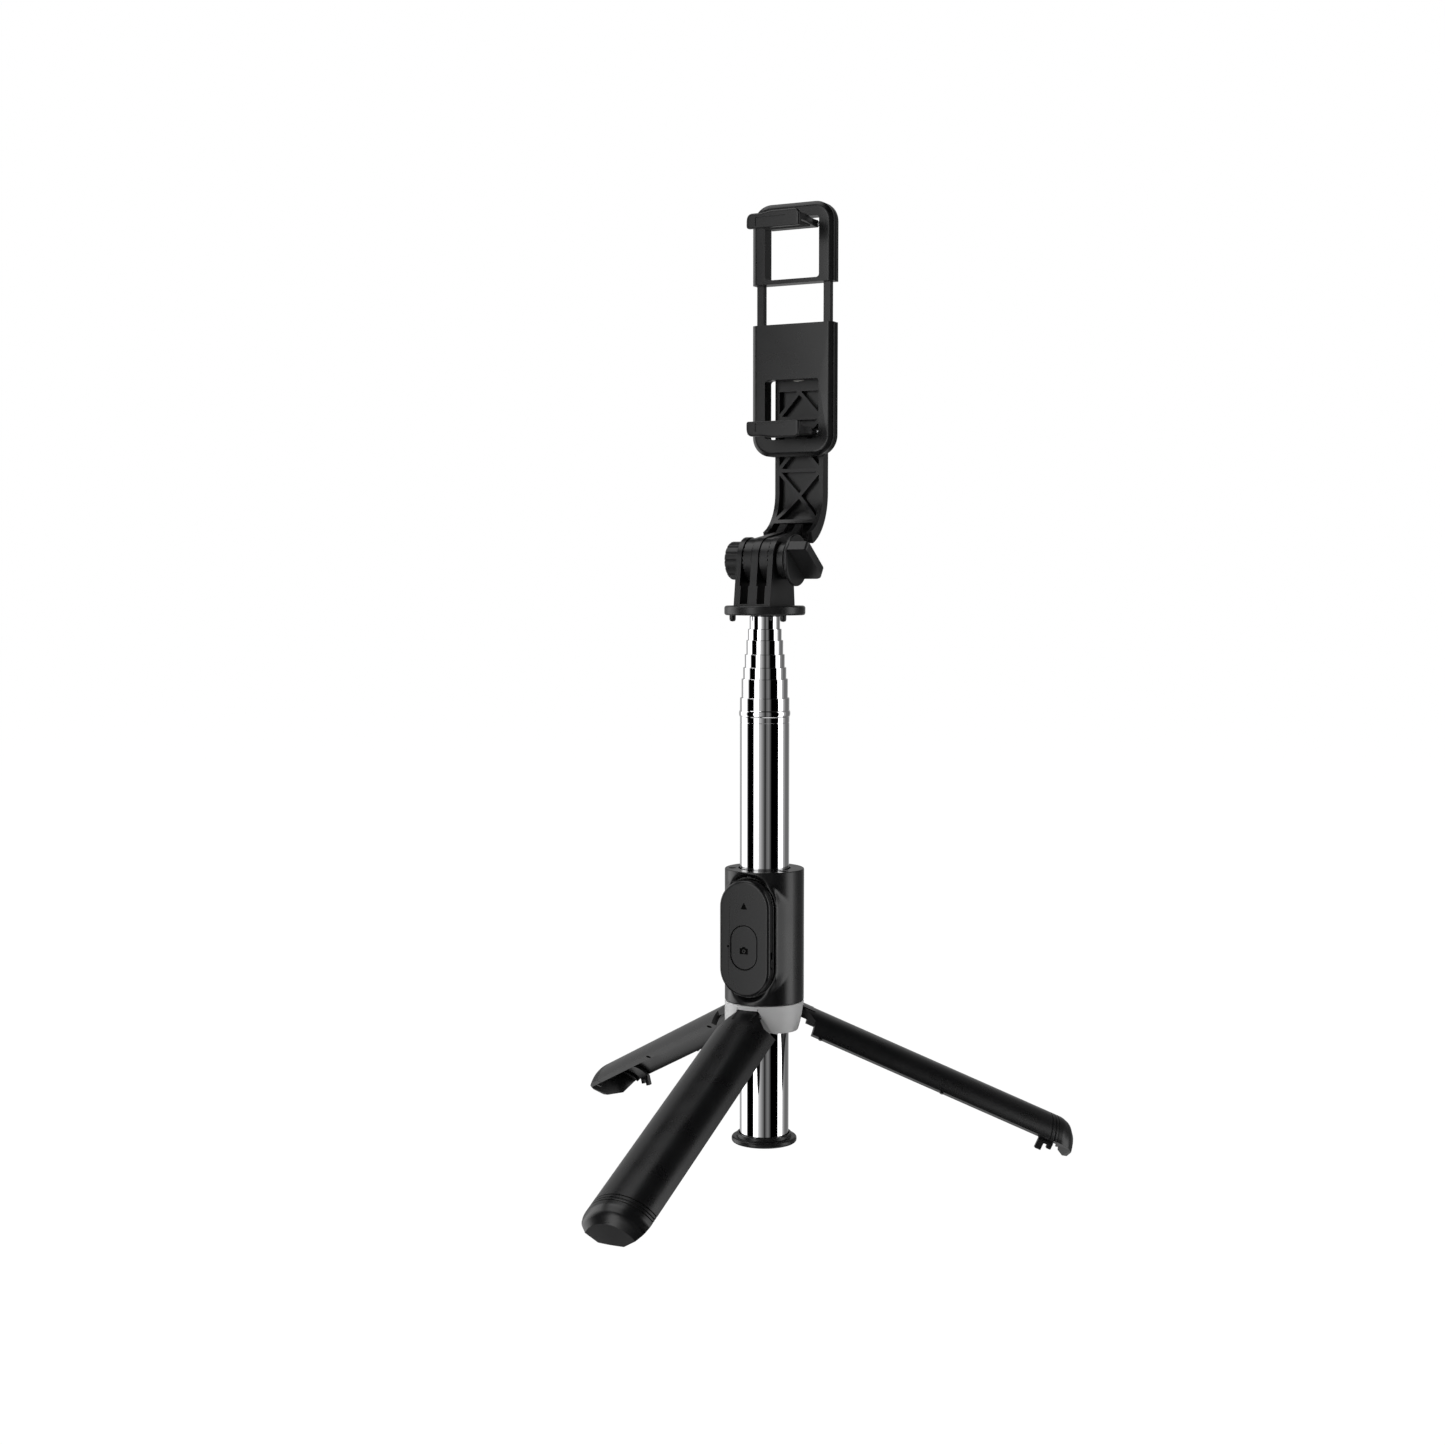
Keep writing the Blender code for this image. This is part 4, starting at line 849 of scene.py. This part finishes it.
def leg_latch():
    """The slotted latch plate on the liner inside the end cap."""
    low, high = HINGE_Z - 109.0, HINGE_Z - 103.0
    latch = sector(11.2, LEG_INNER_R - GAP, -63, -15, low, high, 16)
    slot_low, slot_high = HINGE_Z - 107.1, HINGE_Z - 105.5
    tab = [
        (5.8, high),
        (2.0, high),
        (2.0, slot_high),
        (4.9, slot_high),
        (4.9, slot_low),
        (3.6, slot_low),
        (3.6, low),
        (5.8, low),
    ]
    join(latch, outline(soften(tab, 0.3), 9.6, 10.9, "X"))
    return applied(latch)


def build_legs():
    """Three open legs from one set of shapes."""
    kinds = {
        "leg_shell": (leg_shell(), 0.3),
        "leg_foot": (leg_foot(), 0.2),
        "leg_latch": (leg_latch(), 0.15),
    }
    for side, azimuth in LEG_AZIMUTH.items():
        swing = Matrix.Rotation(math.radians(LEG_OPEN), 4, "X")
        hinge = Matrix.Translation((0, HINGE_RADIUS, HINGE_Z))
        place = leg_turn(azimuth) @ hinge @ swing @ hinge.inverted()
        for kind, (template, edge) in kinds.items():
            node = f"{kind}_{side}"
            piece(link(template.data.copy()), f"{node}_skin", node, edge=edge, place=place)


# ---- head, nut and knob ----


def build_head():
    """The head's disc, docking pins and three-pronged fork."""
    low, high = HEAD_Z
    spigot = TUBE_R[6] - TUBE_WALL - SLIP
    corners = [
        (0, high, 0),
        (HEAD_R, high, 0.9),
        (HEAD_R, low, 0.9),
        (spigot, low, 0.2),
        (spigot, low - 10, 0.4),
        (0, low - 10, 0),
    ]
    head = turned_solid(corners)
    side_view = [
        (PRONG_BASE_Y[1], high - 1),
        (PRONG_BASE_Y[1], high),
        *arc(PIVOT, PRONG_R, 0, 180, 48),
        (PRONG_BASE_Y[0], high),
        (PRONG_BASE_Y[0], high - 1),
    ]
    block = outline(side_view, PRONG_X[0][0], PRONG_X[2][1], "X")
    step = 0.5  # how much narrower a slot is at its foot
    for side in (-1, 1):
        first, last = PRONG_X[1][1], PRONG_X[2][0]
        thin = mirrored(side, first + step, last - step)
        cut(block, box(mirrored(side, first, last), (-20, 20), (SLOT_STEP_Z, PIVOT_Z + 10)))
        cut(block, box(thin, (-20, 20), (high + 0.6, SLOT_STEP_Z + 1)))
    join(head, applied(block))
    pin = [(0, low + 1, 0), (1.2, low + 1, 0), (1.2, low - 1.5, 0.4), (0.95, low - 2.2, 0.4)]
    pin += [(0, low - 2.4, 0)]
    for azimuth in DOCK_ANGLES:
        spot = (*circle_spot(DOCK_CIRCLE, azimuth), 0)
        join(head, moved(turned_solid(pin, sides=32), Matrix.Translation(spot)))
    cut(head, rod(BOLT_R + PIVOT_PLAY, -12, 12, PIVOT, "X"))
    piece(head, "head_fork", "head_base", edge=0.35)


def ribbed(radius, ribs=16, groove=0.45, width=0.16):
    """A circle with narrow grooves, as (y, z) points about the bolt."""
    turn = 360 / ribs
    points = []
    for rib in range(ribs):
        start = turn * rib
        points += arc(PIVOT, radius, start + turn * width, start + turn * (1 - width), 5)
        first, last = start + turn * (1 - width / 2), start + turn * (1 + width / 2)
        points += arc(PIVOT, radius - groove, first, last, 1)
    return points


def build_nut():
    """The ribbed nut cap."""
    inner, soft, groove, floor = PRONG_X[0][0] - GAP, 0.9, 0.45, 0.05
    rings = [(inner, ribbed(NUT_CAP_R)), (inner - 0.4, ribbed(NUT_CAP_R))]
    for x, y in arc((0, 0), soft, 0, 90, 5):
        inset = soft - x
        depth = max(floor, groove - 0.4 * inset)
        rings.append((NUT_CAP_END + soft - y, ribbed(NUT_CAP_R - inset, groove=depth)))
    grip = loft(rings, "X")
    dish_r, nut_r = 5.2, 4.6
    cut(grip, rod(dish_r, NUT_CAP_END - 1, NUT_CAP_END + 0.35, PIVOT, "X"))
    cut(grip, rod(BOLT_R + GAP, NUT_CAP_END + 1.2, inner + 1, PIVOT, "X"))
    cut(grip, rod(nut_r, NUT_CAP_END + 2, inner + 1, PIVOT, "X", 6))
    piece(grip, "nut_cap_ribs", "ribbed_nut_cap", edge=0.12, segments=2)


def round_disc(radius, low, high, soft):
    """A disc about the bolt with both its rims rounded."""
    rings = []
    for x, y in arc((0, 0), soft, 90, 0, 4):
        rings.append((low + soft - y, circle(radius - soft + x, PIVOT, 96)))
    for x, y in arc((0, 0), soft, 0, 90, 4):
        rings.append((high - soft + y, circle(radius - soft + x, PIVOT, 96)))
    return loft(rings, "X")


def build_knob():
    """The winged knob: flange, hub, thin disc and the blade that fingers turn."""
    flange_r, hub_r, disc_r = 7.1, 5.0, 9.6
    knob = round_disc(flange_r, *KNOB_FLANGE, 0.5)
    hub = rod(hub_r, KNOB_FLANGE[0] + 1, KNOB_DISC[1] - 0.5, PIVOT, "X")
    join(knob, hub, round_disc(disc_r, *KNOB_DISC, 0.45))
    root, half = KNOB_DISC[1] - 0.6, WING_HALF
    wing = [(root, -half), (WING_END, -half), (WING_END, half), (root, half)]
    wing = soften(wing, [0, 3.0, 1.2, 0], steps=10)
    blade = outline(wing, -WING_THICK / 2, WING_THICK / 2, "Y")
    lift = Matrix.Translation((0, 0, PIVOT_Z))
    turn = lift @ Matrix.Rotation(math.radians(WING_TURN), 4, "X")
    join(knob, moved(applied(blade), turn))
    bore_start, bore_end = 5, 12.3
    cut(knob, rod(BOLT_R + GAP, bore_start, bore_end, PIVOT, "X"))
    piece(knob, "knob_wing", "wing_knob", edge=0.4, segments=4)


# ---- arm ----


def bend(offset, steps=36):
    """The arm's bend from its lower end up, as (y, z) points, offset from its front face."""
    return arc((ARM_FRONT_Y - BEND_R, BEND_Z), BEND_R + offset, -BEND_ANGLE, 0, steps)


def teeth(side):
    """A ring of radial teeth on a knuckle's outer side."""
    face, valley, crest = [side * (KNUCKLE_X[1] + height) for height in (-0.1, 0.02, 0.55)]
    count, inner, outer = 30, 3.6, ARM_KNUCKLE_R - 0.05
    shape = bmesh.new()
    rows = []
    for i in range(2 * count):
        angle = math.pi * i / count
        height = crest if i % 2 else valley
        y, z = math.cos(angle), math.sin(angle)
        spots = [(face, inner), (face, outer), (height, outer), (height, inner)]
        rows.append([shape.verts.new((x, r * y, PIVOT_Z + r * z)) for x, r in spots])
    for row, following in zip(rows, rows[1:] + rows[:1]):
        for k in range(4):
            m = (k + 1) % 4
            shape.faces.new((row[k], following[k], following[m], row[m]))
    return made_of(shape)


def build_arm():
    """The tilting arm: bent channel with crossed ribs and two toothed knuckles."""
    top = SWIVEL_Z + ARM_HALF
    front, back = bend(0), bend(ARM_BACK_Y - ARM_FRONT_Y)
    side_view = front + [(ARM_FRONT_Y, top), (ARM_BACK_Y, top)] + back[::-1]
    arm = outline(side_view, -ARM_HALF, ARM_HALF, "X")
    crown = [(-20, SWIVEL_Z), (-20, top + 5), (20, top + 5), (20, SWIVEL_Z)]
    cut(arm, outline(crown + arc(SWIVEL, ARM_HALF, 0, 180, 48), 20, 40, "Y"))
    open_y, floor_y = ARM_FRONT_Y - 3, ARM_FRONT_Y + CHANNEL_DEPTH
    layer_side = bend(-3) + [(open_y, CHANNEL_TOP), (floor_y, CHANNEL_TOP)]
    layer_side += bend(CHANNEL_DEPTH)[::-1]
    reach = ARM_HALF - FLANGE_W
    layer = outline(layer_side, -reach, reach, "X")
    for low, high in RIB_CROSSES:
        cut(layer, box((-20, 20), (0, 60), (high, high + RIB_W)))
        slope = math.atan2(high - low, 2 * reach)
        for side in (-1, 1):
            rib = box((-20, 20), (0, 60), (-RIB_W / 2, RIB_W / 2))
            tilt = Matrix.Rotation(side * slope, 4, "Y")
            cut(layer, moved(rib, Matrix.Translation((0, 0, (low + high) / 2)) @ tilt))
    lowest = RIB_CROSSES[0][0]
    cut(layer, box((-20, 20), (0, 60), (lowest - RIB_W, lowest)))
    cut(arm, applied(layer))
    tip_front, tip_back = front[0], back[0]
    plate = [
        *arc(PIVOT, ARM_KNUCKLE_R, 85, 306, 56),
        (tip_back[0] + 0.5, tip_back[1] + 0.3),
        (tip_front[0] + 4.0, tip_front[1] + 3.0),
        (tip_front[0], tip_front[1]),
    ]
    for side in (-1, 1):
        join(arm, outline(plate, *mirrored(side, *KNUCKLE_X), "X"))
    cut(arm, rod(BOLT_R + PIVOT_PLAY, -8, 8, PIVOT, "X"))
    cut(arm, rod(SWIVEL_R + PIVOT_PLAY, 20, 40, SWIVEL, "Y"))
    piece(arm, "arm_channel", "tilt_arm", edge=0.15)
    for side, label in ((-1, "left"), (1, "right")):
        piece(teeth(side), f"knuckle_teeth_{label}", slot="black_plastic", body="arm", edge=0)


# ---- phone clamp ----


def plate(low, high, front, back, round_top):
    """A clamp plate with a chamfered front rim and a groove round its side.

    One end is square and meets the other plate.
    """
    groove = 25.9
    side_view = [
        (front, 2.1),
        (front + 0.2, 1.3),
        (front + 0.8, 0.35),
        (front + 1.2, 0.0),
        (groove - 0.3, 0.0),
        (groove - 0.2, 0.5),
        (groove + 0.2, 0.5),
        (groove + 0.3, 0.0),
        (back - 0.3, 0.0),
        (back, 0.3),
    ]
    rings = []
    for y, inset in side_view:
        bottom = low if round_top else low + inset
        top = high - inset if round_top else high
        corner = PLATE_CORNER - inset
        points = rounded(PLATE_HALF - inset, bottom, top, corner, top=round_top, bottom=not round_top)
        rings.append((y, points))
    return loft(rings, "Y")


def cross_screw(x, z, head_y):
    """A screw with a cross recess, its head towards +Y."""
    head = rod(1.3, head_y - 0.6, head_y, (x, z), "Y", 40)
    join(head, rod(0.6, 24.6, head_y - 0.3, (x, z), "Y", 24))
    for slot_x, slot_z in ((0.75, 0.16), (0.16, 0.75)):
        cut(head, box((x - slot_x, x + slot_x), (head_y - 0.35, head_y + 1), (z - slot_z, z + slot_z)))
    return head


def build_clamp_body():
    """The clamp's fixed half: body, rear cover, screws and swivel axle."""
    low, high = BODY_Z
    body = plate(low, high, PLATE_Y[0], COVER_Y - GAP, round_top=False)
    opening = rounded(WINDOW_HALF, *LOWER_WINDOW_Z, 1.2, steps=6)
    cut(body, outline(opening, 0, 60, "Y"))
    for side in (-1, 1):
        channel = mirrored(side, RAIL_X[0] - GAP, RAIL_X[1] + GAP)
        cut(body, box(channel, (RAIL_Y[0] - GAP, COVER_Y + 1), (268.5, high + 1)))
    cut(body, rod(JAW_PIN_HOLE_R, -12.25, 12.25, (JAW_PIN_Y, JAWS["lower"][0]), "X", 24))
    cut(body, rod(4.5, 24.0, 30, SWIVEL, "Y"))
    spots = {"left": (-CLAMP_SCREW_X, CLAMP_SCREW_Z), "right": (CLAMP_SCREW_X, CLAMP_SCREW_Z)}
    for spot in spots.values():
        cut(body, rod(0.75, 24.2, 30, spot, "Y", 24))
    piece(body, "clamp_front", "clamp_body", edge=0.2)

    back = PLATE_Y[1]
    rings = []
    for y, inset in ((COVER_Y, 0.0), (back - 0.5, 0.0), (back - 0.15, 0.2), (back, 0.5)):
        points = rounded(PLATE_HALF - inset, low + inset, high, PLATE_CORNER - inset, top=False)
        rings.append((y, points))
    cover = loft(rings, "Y")
    cut(cover, outline(opening, 0, 60, "Y"))
    cut(cover, rod(SWIVEL_R + 0.3, 20, 40, SWIVEL, "Y"))
    for label, spot in spots.items():
        cut(cover, rod(0.95, 20, 40, spot, "Y", 24), rod(1.5, back - 0.9, 40, spot, "Y", 32))
        name = f"clamp_screw_{label}"
        screw = cross_screw(*spot, back - 0.1)
        piece(screw, f"{name}_head", name, edge=0.1, segments=2)
    piece(cover, "clamp_cover", "clamp_rear_cover", edge=0.2)

    rings = [(24.3, 4.2), (27.0, 4.2), (27.0, SWIVEL_R), (ARM_BACK_Y + GAP, SWIVEL_R)]
    rings += [(ARM_BACK_Y + GAP, 4.8), (35.9, 4.8), (36.3, 4.5), (36.5, 3.9), (36.6, 3.0), (36.25, 2.6)]
    axle = loft([(y, circle(r, SWIVEL, 72)) for y, r in rings], "Y")
    piece(axle, "axle_cap", "swivel_axle", edge=0.1, segments=2)


def build_slider():
    """The clamp's sliding half with its two rails."""
    low, high = SLIDER_Z
    slider = plate(low, high, *PLATE_Y, round_top=True)
    for side in (-1, 1):
        groove = mirrored(side, 13.0, 15.0)
        join(slider, box(mirrored(side, *RAIL_X), RAIL_Y, (RAIL_BOTTOM, low + 2)))
        cut(slider, box(groove, (24, 26.6), (RAIL_BOTTOM - 1, 309.5)))
    opening = rounded(WINDOW_HALF, *UPPER_WINDOW_Z, 1.2, steps=6)
    cut(slider, outline(opening, 0, 60, "Y"))
    cut(slider, rod(JAW_PIN_HOLE_R, -12.6, 12.6, (JAW_PIN_Y, JAWS["upper"][0]), "X", 24))
    piece(slider, "clamp_top", "clamp_slider", edge=0.2)


def build_jaw(label, pin_z, up):
    """A folding jaw with its pin and ribbed pad. up is 1 where the phone rests on it."""
    half = JAW_HALF

    def level(height):
        """A height above the pin, measured towards the phone."""
        return pin_z + up * height

    def heights(low, high):
        return sorted((level(low), level(high)))

    inner, outer, dip, soft, end_round = 3.4, -2.9, 0.7, 0.9, 2.2
    front, back = LIP_Y
    ends = [soft * (1 - math.cos(math.radians(15 * step))) for step in range(7)]
    count, plain = 40, half - 1
    stations = [-half + x for x in ends]
    stations += [-plain + 2 * plain * i / count for i in range(1, count)]
    stations += [half - x for x in ends[::-1]]
    rings = []
    for x in stations:
        depth = max(soft - (half - abs(x)), 0.0)
        inset = soft - math.sqrt(soft * soft - depth * depth)
        share = min(max((x + 6.0) / 6.0, 0.0), 1.0)
        over = max(end_round - (half - abs(x)), 0.0)
        edge = outer + dip * (1 - share * share * (3 - 2 * share))
        edge += end_round - math.sqrt(end_round * end_round - over * over)
        corners = [
            (front + 0.6 * inset, level(inner - inset)),
            (back, level(inner - inset)),
            (back, level(edge + inset)),
            (front + 0.6 * inset, level(edge + inset)),
        ]
        rings.append((x, soften(corners, [0.35, 0.1, 0.3, 1.5], steps=7)))
    lip = loft(rings, "X")
    left, right, lowest, highest = -7.2, 5.6, level(-0.6), level(2.7)
    recess = [(left, lowest), (right, lowest), (right, highest), (left, highest)]
    cut(lip, outline(soften(recess, 0.4), LIP_Y[0] - 1, LIP_Y[0] + 0.3, "Y"))
    shelf = [(half, LIP_Y[1] - 0.5), (half, 12.0), (half - 1.5, 21.0), (half - 1.5, JAW_PIN_Y)]
    shelf += [(-x, y) for x, y in shelf[::-1]]
    shelf = outline(soften(shelf, [0, 4, 4, 0, 0, 4, 4, 0], steps=5), *heights(-1.3, 1.3), "Z")
    knuckle = rod(1.4, -half + 1.5, half - 1.5, (JAW_PIN_Y, pin_z), "X", 40)
    join(lip, shelf, knuckle)
    seat_x = (-half + 1.8, half - 1.8)
    cut(lip, box(seat_x, (8.6, 20.6), heights(0.7, 3)))
    cut(lip, rod(JAW_PIN_HOLE_R, -12, 12, (JAW_PIN_Y, pin_z), "X", 24))
    for side in (-1, 1):
        cut(lip, box((side * 5.2 - 1.6, side * 5.2 + 1.6), (10, 19), heights(-1.5, -0.9)))
    piece(lip, f"{label}_jaw_shell", f"{label}_jaw", edge=0.25)
    pin = rod(JAW_PIN_R, -12.1, 12.1, (JAW_PIN_Y, pin_z), "X", 32)
    piece(pin, f"{label}_pin_round", f"{label}_jaw_pin", edge=0.15, segments=2)

    front, back = 8.6 + GAP, 20.6 - GAP
    ribs = 9
    pitch = (back - front) / ribs
    tops = []
    for rib in range(ribs):
        start = front + pitch * rib
        for share, height in ((0.0, 1.5), (0.2, 1.8), (0.8, 1.8), (1.0, 1.5)):
            tops.append((start + pitch * share, level(height)))
    side_view = [(front, level(1.0))] + list(dict.fromkeys(tops)) + [(back, level(1.0))]
    pad = outline(side_view, seat_x[0] + GAP, seat_x[1] - GAP, "X")
    piece(pad, f"{label}_pad_ribs", f"{label}_jaw_pad", edge=0.08, segments=2)


# ---- materials of the CAD nodes that stay ----


def dress_cad_nodes():
    """Give the inner CAD nodes that no piece replaces the material of their slot."""
    for node, slot in NODE_SLOT.items():
        if node not in REPLACED:
            dress(frame["nodes"][node].data, LOOKS[slot])


# ---- studio and camera ----

CAMERA_AT = Vector((0.32985, -0.67778, 0.21077))
CAMERA_TURN = (86.134, 0.0, 27.157)

# The light wall round the object, as (degrees to the right of the camera's side, radiance).
# Its levels were chosen so that the chrome shows the photograph's bands at that view.
SURROUND = (
    (-180, 0.4),
    (-140, 0.4),
    (-132, 0.7),
    (-125, 2.0),
    (-97, 2.0),
    (-84, 0.0),
    (-53, 0.0),
    (-48, 2.8),
    (-32, 2.8),
    (-28, 0.7),
    (-13, 0.3),
    (3, 0.0),
    (8, 0.12),
    (18, 0.2),
    (31, 0.0),
    (66, 0.0),
    (69, 2.6),
    (91, 2.6),
    (95, 0.5),
    (115, 0.15),
    (145, 0.15),
    (160, 0.45),
    (180, 0.4),
)


def glow(name, strength=None):
    """A material for a light panel. Without a strength it reads the mesh's own glow values."""
    made = bpy.data.materials.new(name)
    made.use_nodes = True
    tree = made.node_tree
    tree.nodes.remove(tree.nodes["Principled BSDF"])
    lamp = add(tree, "ShaderNodeEmission", Strength=strength or 1.0)
    if strength is None:
        own = tree.nodes.new("ShaderNodeAttribute")
        own.attribute_name = "glow"
        tree.links.new(own.outputs["Fac"], lamp.inputs["Strength"])
    tree.links.new(lamp.outputs["Emission"], tree.nodes["Material Output"].inputs["Surface"])
    return made


def panel(name, corners, faces, look):
    """A stage mesh that casts no shadow and, until its caller says so, isn't seen."""
    mesh = bpy.data.meshes.new(name)
    mesh.from_pydata(corners, [], faces)
    mesh.materials.append(look)
    made = bpy.data.objects.new(name, mesh)
    bpy.context.scene.collection.objects.link(made)
    made.visible_camera = False
    made.visible_shadow = False
    return made


def build_light_wall(bottom=-0.45, top=0.9, distance=1.0):
    """A curved wall of light round the object, brighter and darker by angle."""
    widest = 4  # degrees that one face spans
    facing = math.atan2(CAMERA_AT.y, CAMERA_AT.x)
    corners, levels = [], []
    for (start, first), (stop, last) in zip(SURROUND, SURROUND[1:]):
        steps = max(1, round((stop - start) / widest))
        for step in range(steps):
            share = step / steps
            angle = facing + math.radians(start + (stop - start) * share)
            x, y = distance * math.cos(angle), distance * math.sin(angle)
            corners += [(x, y, bottom), (x, y, top)]
            levels += [first + (last - first) * share] * 2
    count = len(corners)
    faces = [(i, (i + 2) % count, (i + 3) % count, i + 1) for i in range(0, count, 2)]
    wall = panel("light_wall", corners, faces, glow("wall_glow"))
    wall.data.attributes.new("glow", "FLOAT", "POINT").data.foreach_set("value", levels)


def square(half, height, middle=(0.0, 0.0)):
    """Corners of a level square."""
    signs = ((-1, -1), (1, -1), (1, 1), (-1, 1))
    return [(middle[0] + a * half, middle[1] + b * half, height) for a, b in signs]


def build_studio():
    """White surroundings for the camera, dark ones for reflections, and soft light panels."""
    scene = bpy.context.scene
    scene.view_settings.view_transform = "Standard"
    world = bpy.data.worlds.new("studio")
    scene.world = world
    world.use_nodes = True
    tree = world.node_tree
    dark = tree.nodes["Background"]
    dark.inputs["Color"].default_value = (0.01, 0.01, 0.01, 1.0)
    white = add(tree, "ShaderNodeBackground", Color=(1.0, 1.0, 1.0, 1.0), Strength=1.0)
    seen = tree.nodes.new("ShaderNodeLightPath")
    mix = tree.nodes.new("ShaderNodeMixShader")
    tree.links.new(seen.outputs["Is Camera Ray"], mix.inputs["Fac"])
    tree.links.new(dark.outputs["Background"], mix.inputs[1])
    tree.links.new(white.outputs["Background"], mix.inputs[2])
    tree.links.new(mix.outputs["Shader"], tree.nodes["World Output"].inputs["Surface"])

    build_light_wall()
    aside = Vector((-CAMERA_AT.y, CAMERA_AT.x)).normalized() * -0.45
    panel("overhead", square(0.4, 1.1, aside), [(0, 3, 2, 1)], glow("overhead_glow", 2.0))
    panel("underside", square(0.5, -0.5), [(0, 1, 2, 3)], glow("underside_glow", 0.7))

    pale = bpy.data.materials.new("pale_floor")
    pale.use_nodes = True
    shader = pale.node_tree.nodes["Principled BSDF"]
    shader.inputs["Base Color"].default_value = (0.04, 0.04, 0.04, 1.0)
    shader.inputs["Roughness"].default_value = 1.0
    shader.inputs["Specular IOR Level"].default_value = 0.0
    shader.inputs["Emission Color"].default_value = (1.0, 1.0, 1.0, 1.0)
    shader.inputs["Emission Strength"].default_value = 1.0
    ground = square(6.0, GROUND_Z * MM - 0.0002)
    floor = panel("floor", ground, [(0, 1, 2, 3)], pale)
    floor.visible_camera = True
    floor.visible_glossy = False
    floor.visible_diffuse = False


def build_camera():
    """The camera at the photograph's view."""
    lens = bpy.data.cameras.new("camera")
    lens.lens = 50.0
    lens.sensor_width = 36.0
    camera = bpy.data.objects.new("camera", lens)
    camera.location = CAMERA_AT
    camera.rotation_euler = [math.radians(a) for a in CAMERA_TURN]
    bpy.context.scene.collection.objects.link(camera)
    bpy.context.scene.camera = camera


build_pole()
build_collar()
build_housing()
build_remote()
build_marks()
build_legs()
build_head()
build_nut()
build_knob()
build_arm()
build_clamp_body()
build_slider()
for jaw, (jaw_pin_z, jaw_up) in JAWS.items():
    build_jaw(jaw, jaw_pin_z, jaw_up)
dress_cad_nodes()
build_studio()
build_camera()

for leftover in list(SHOP.objects):
    bpy.data.objects.remove(leftover)
bpy.data.collections.remove(SHOP)
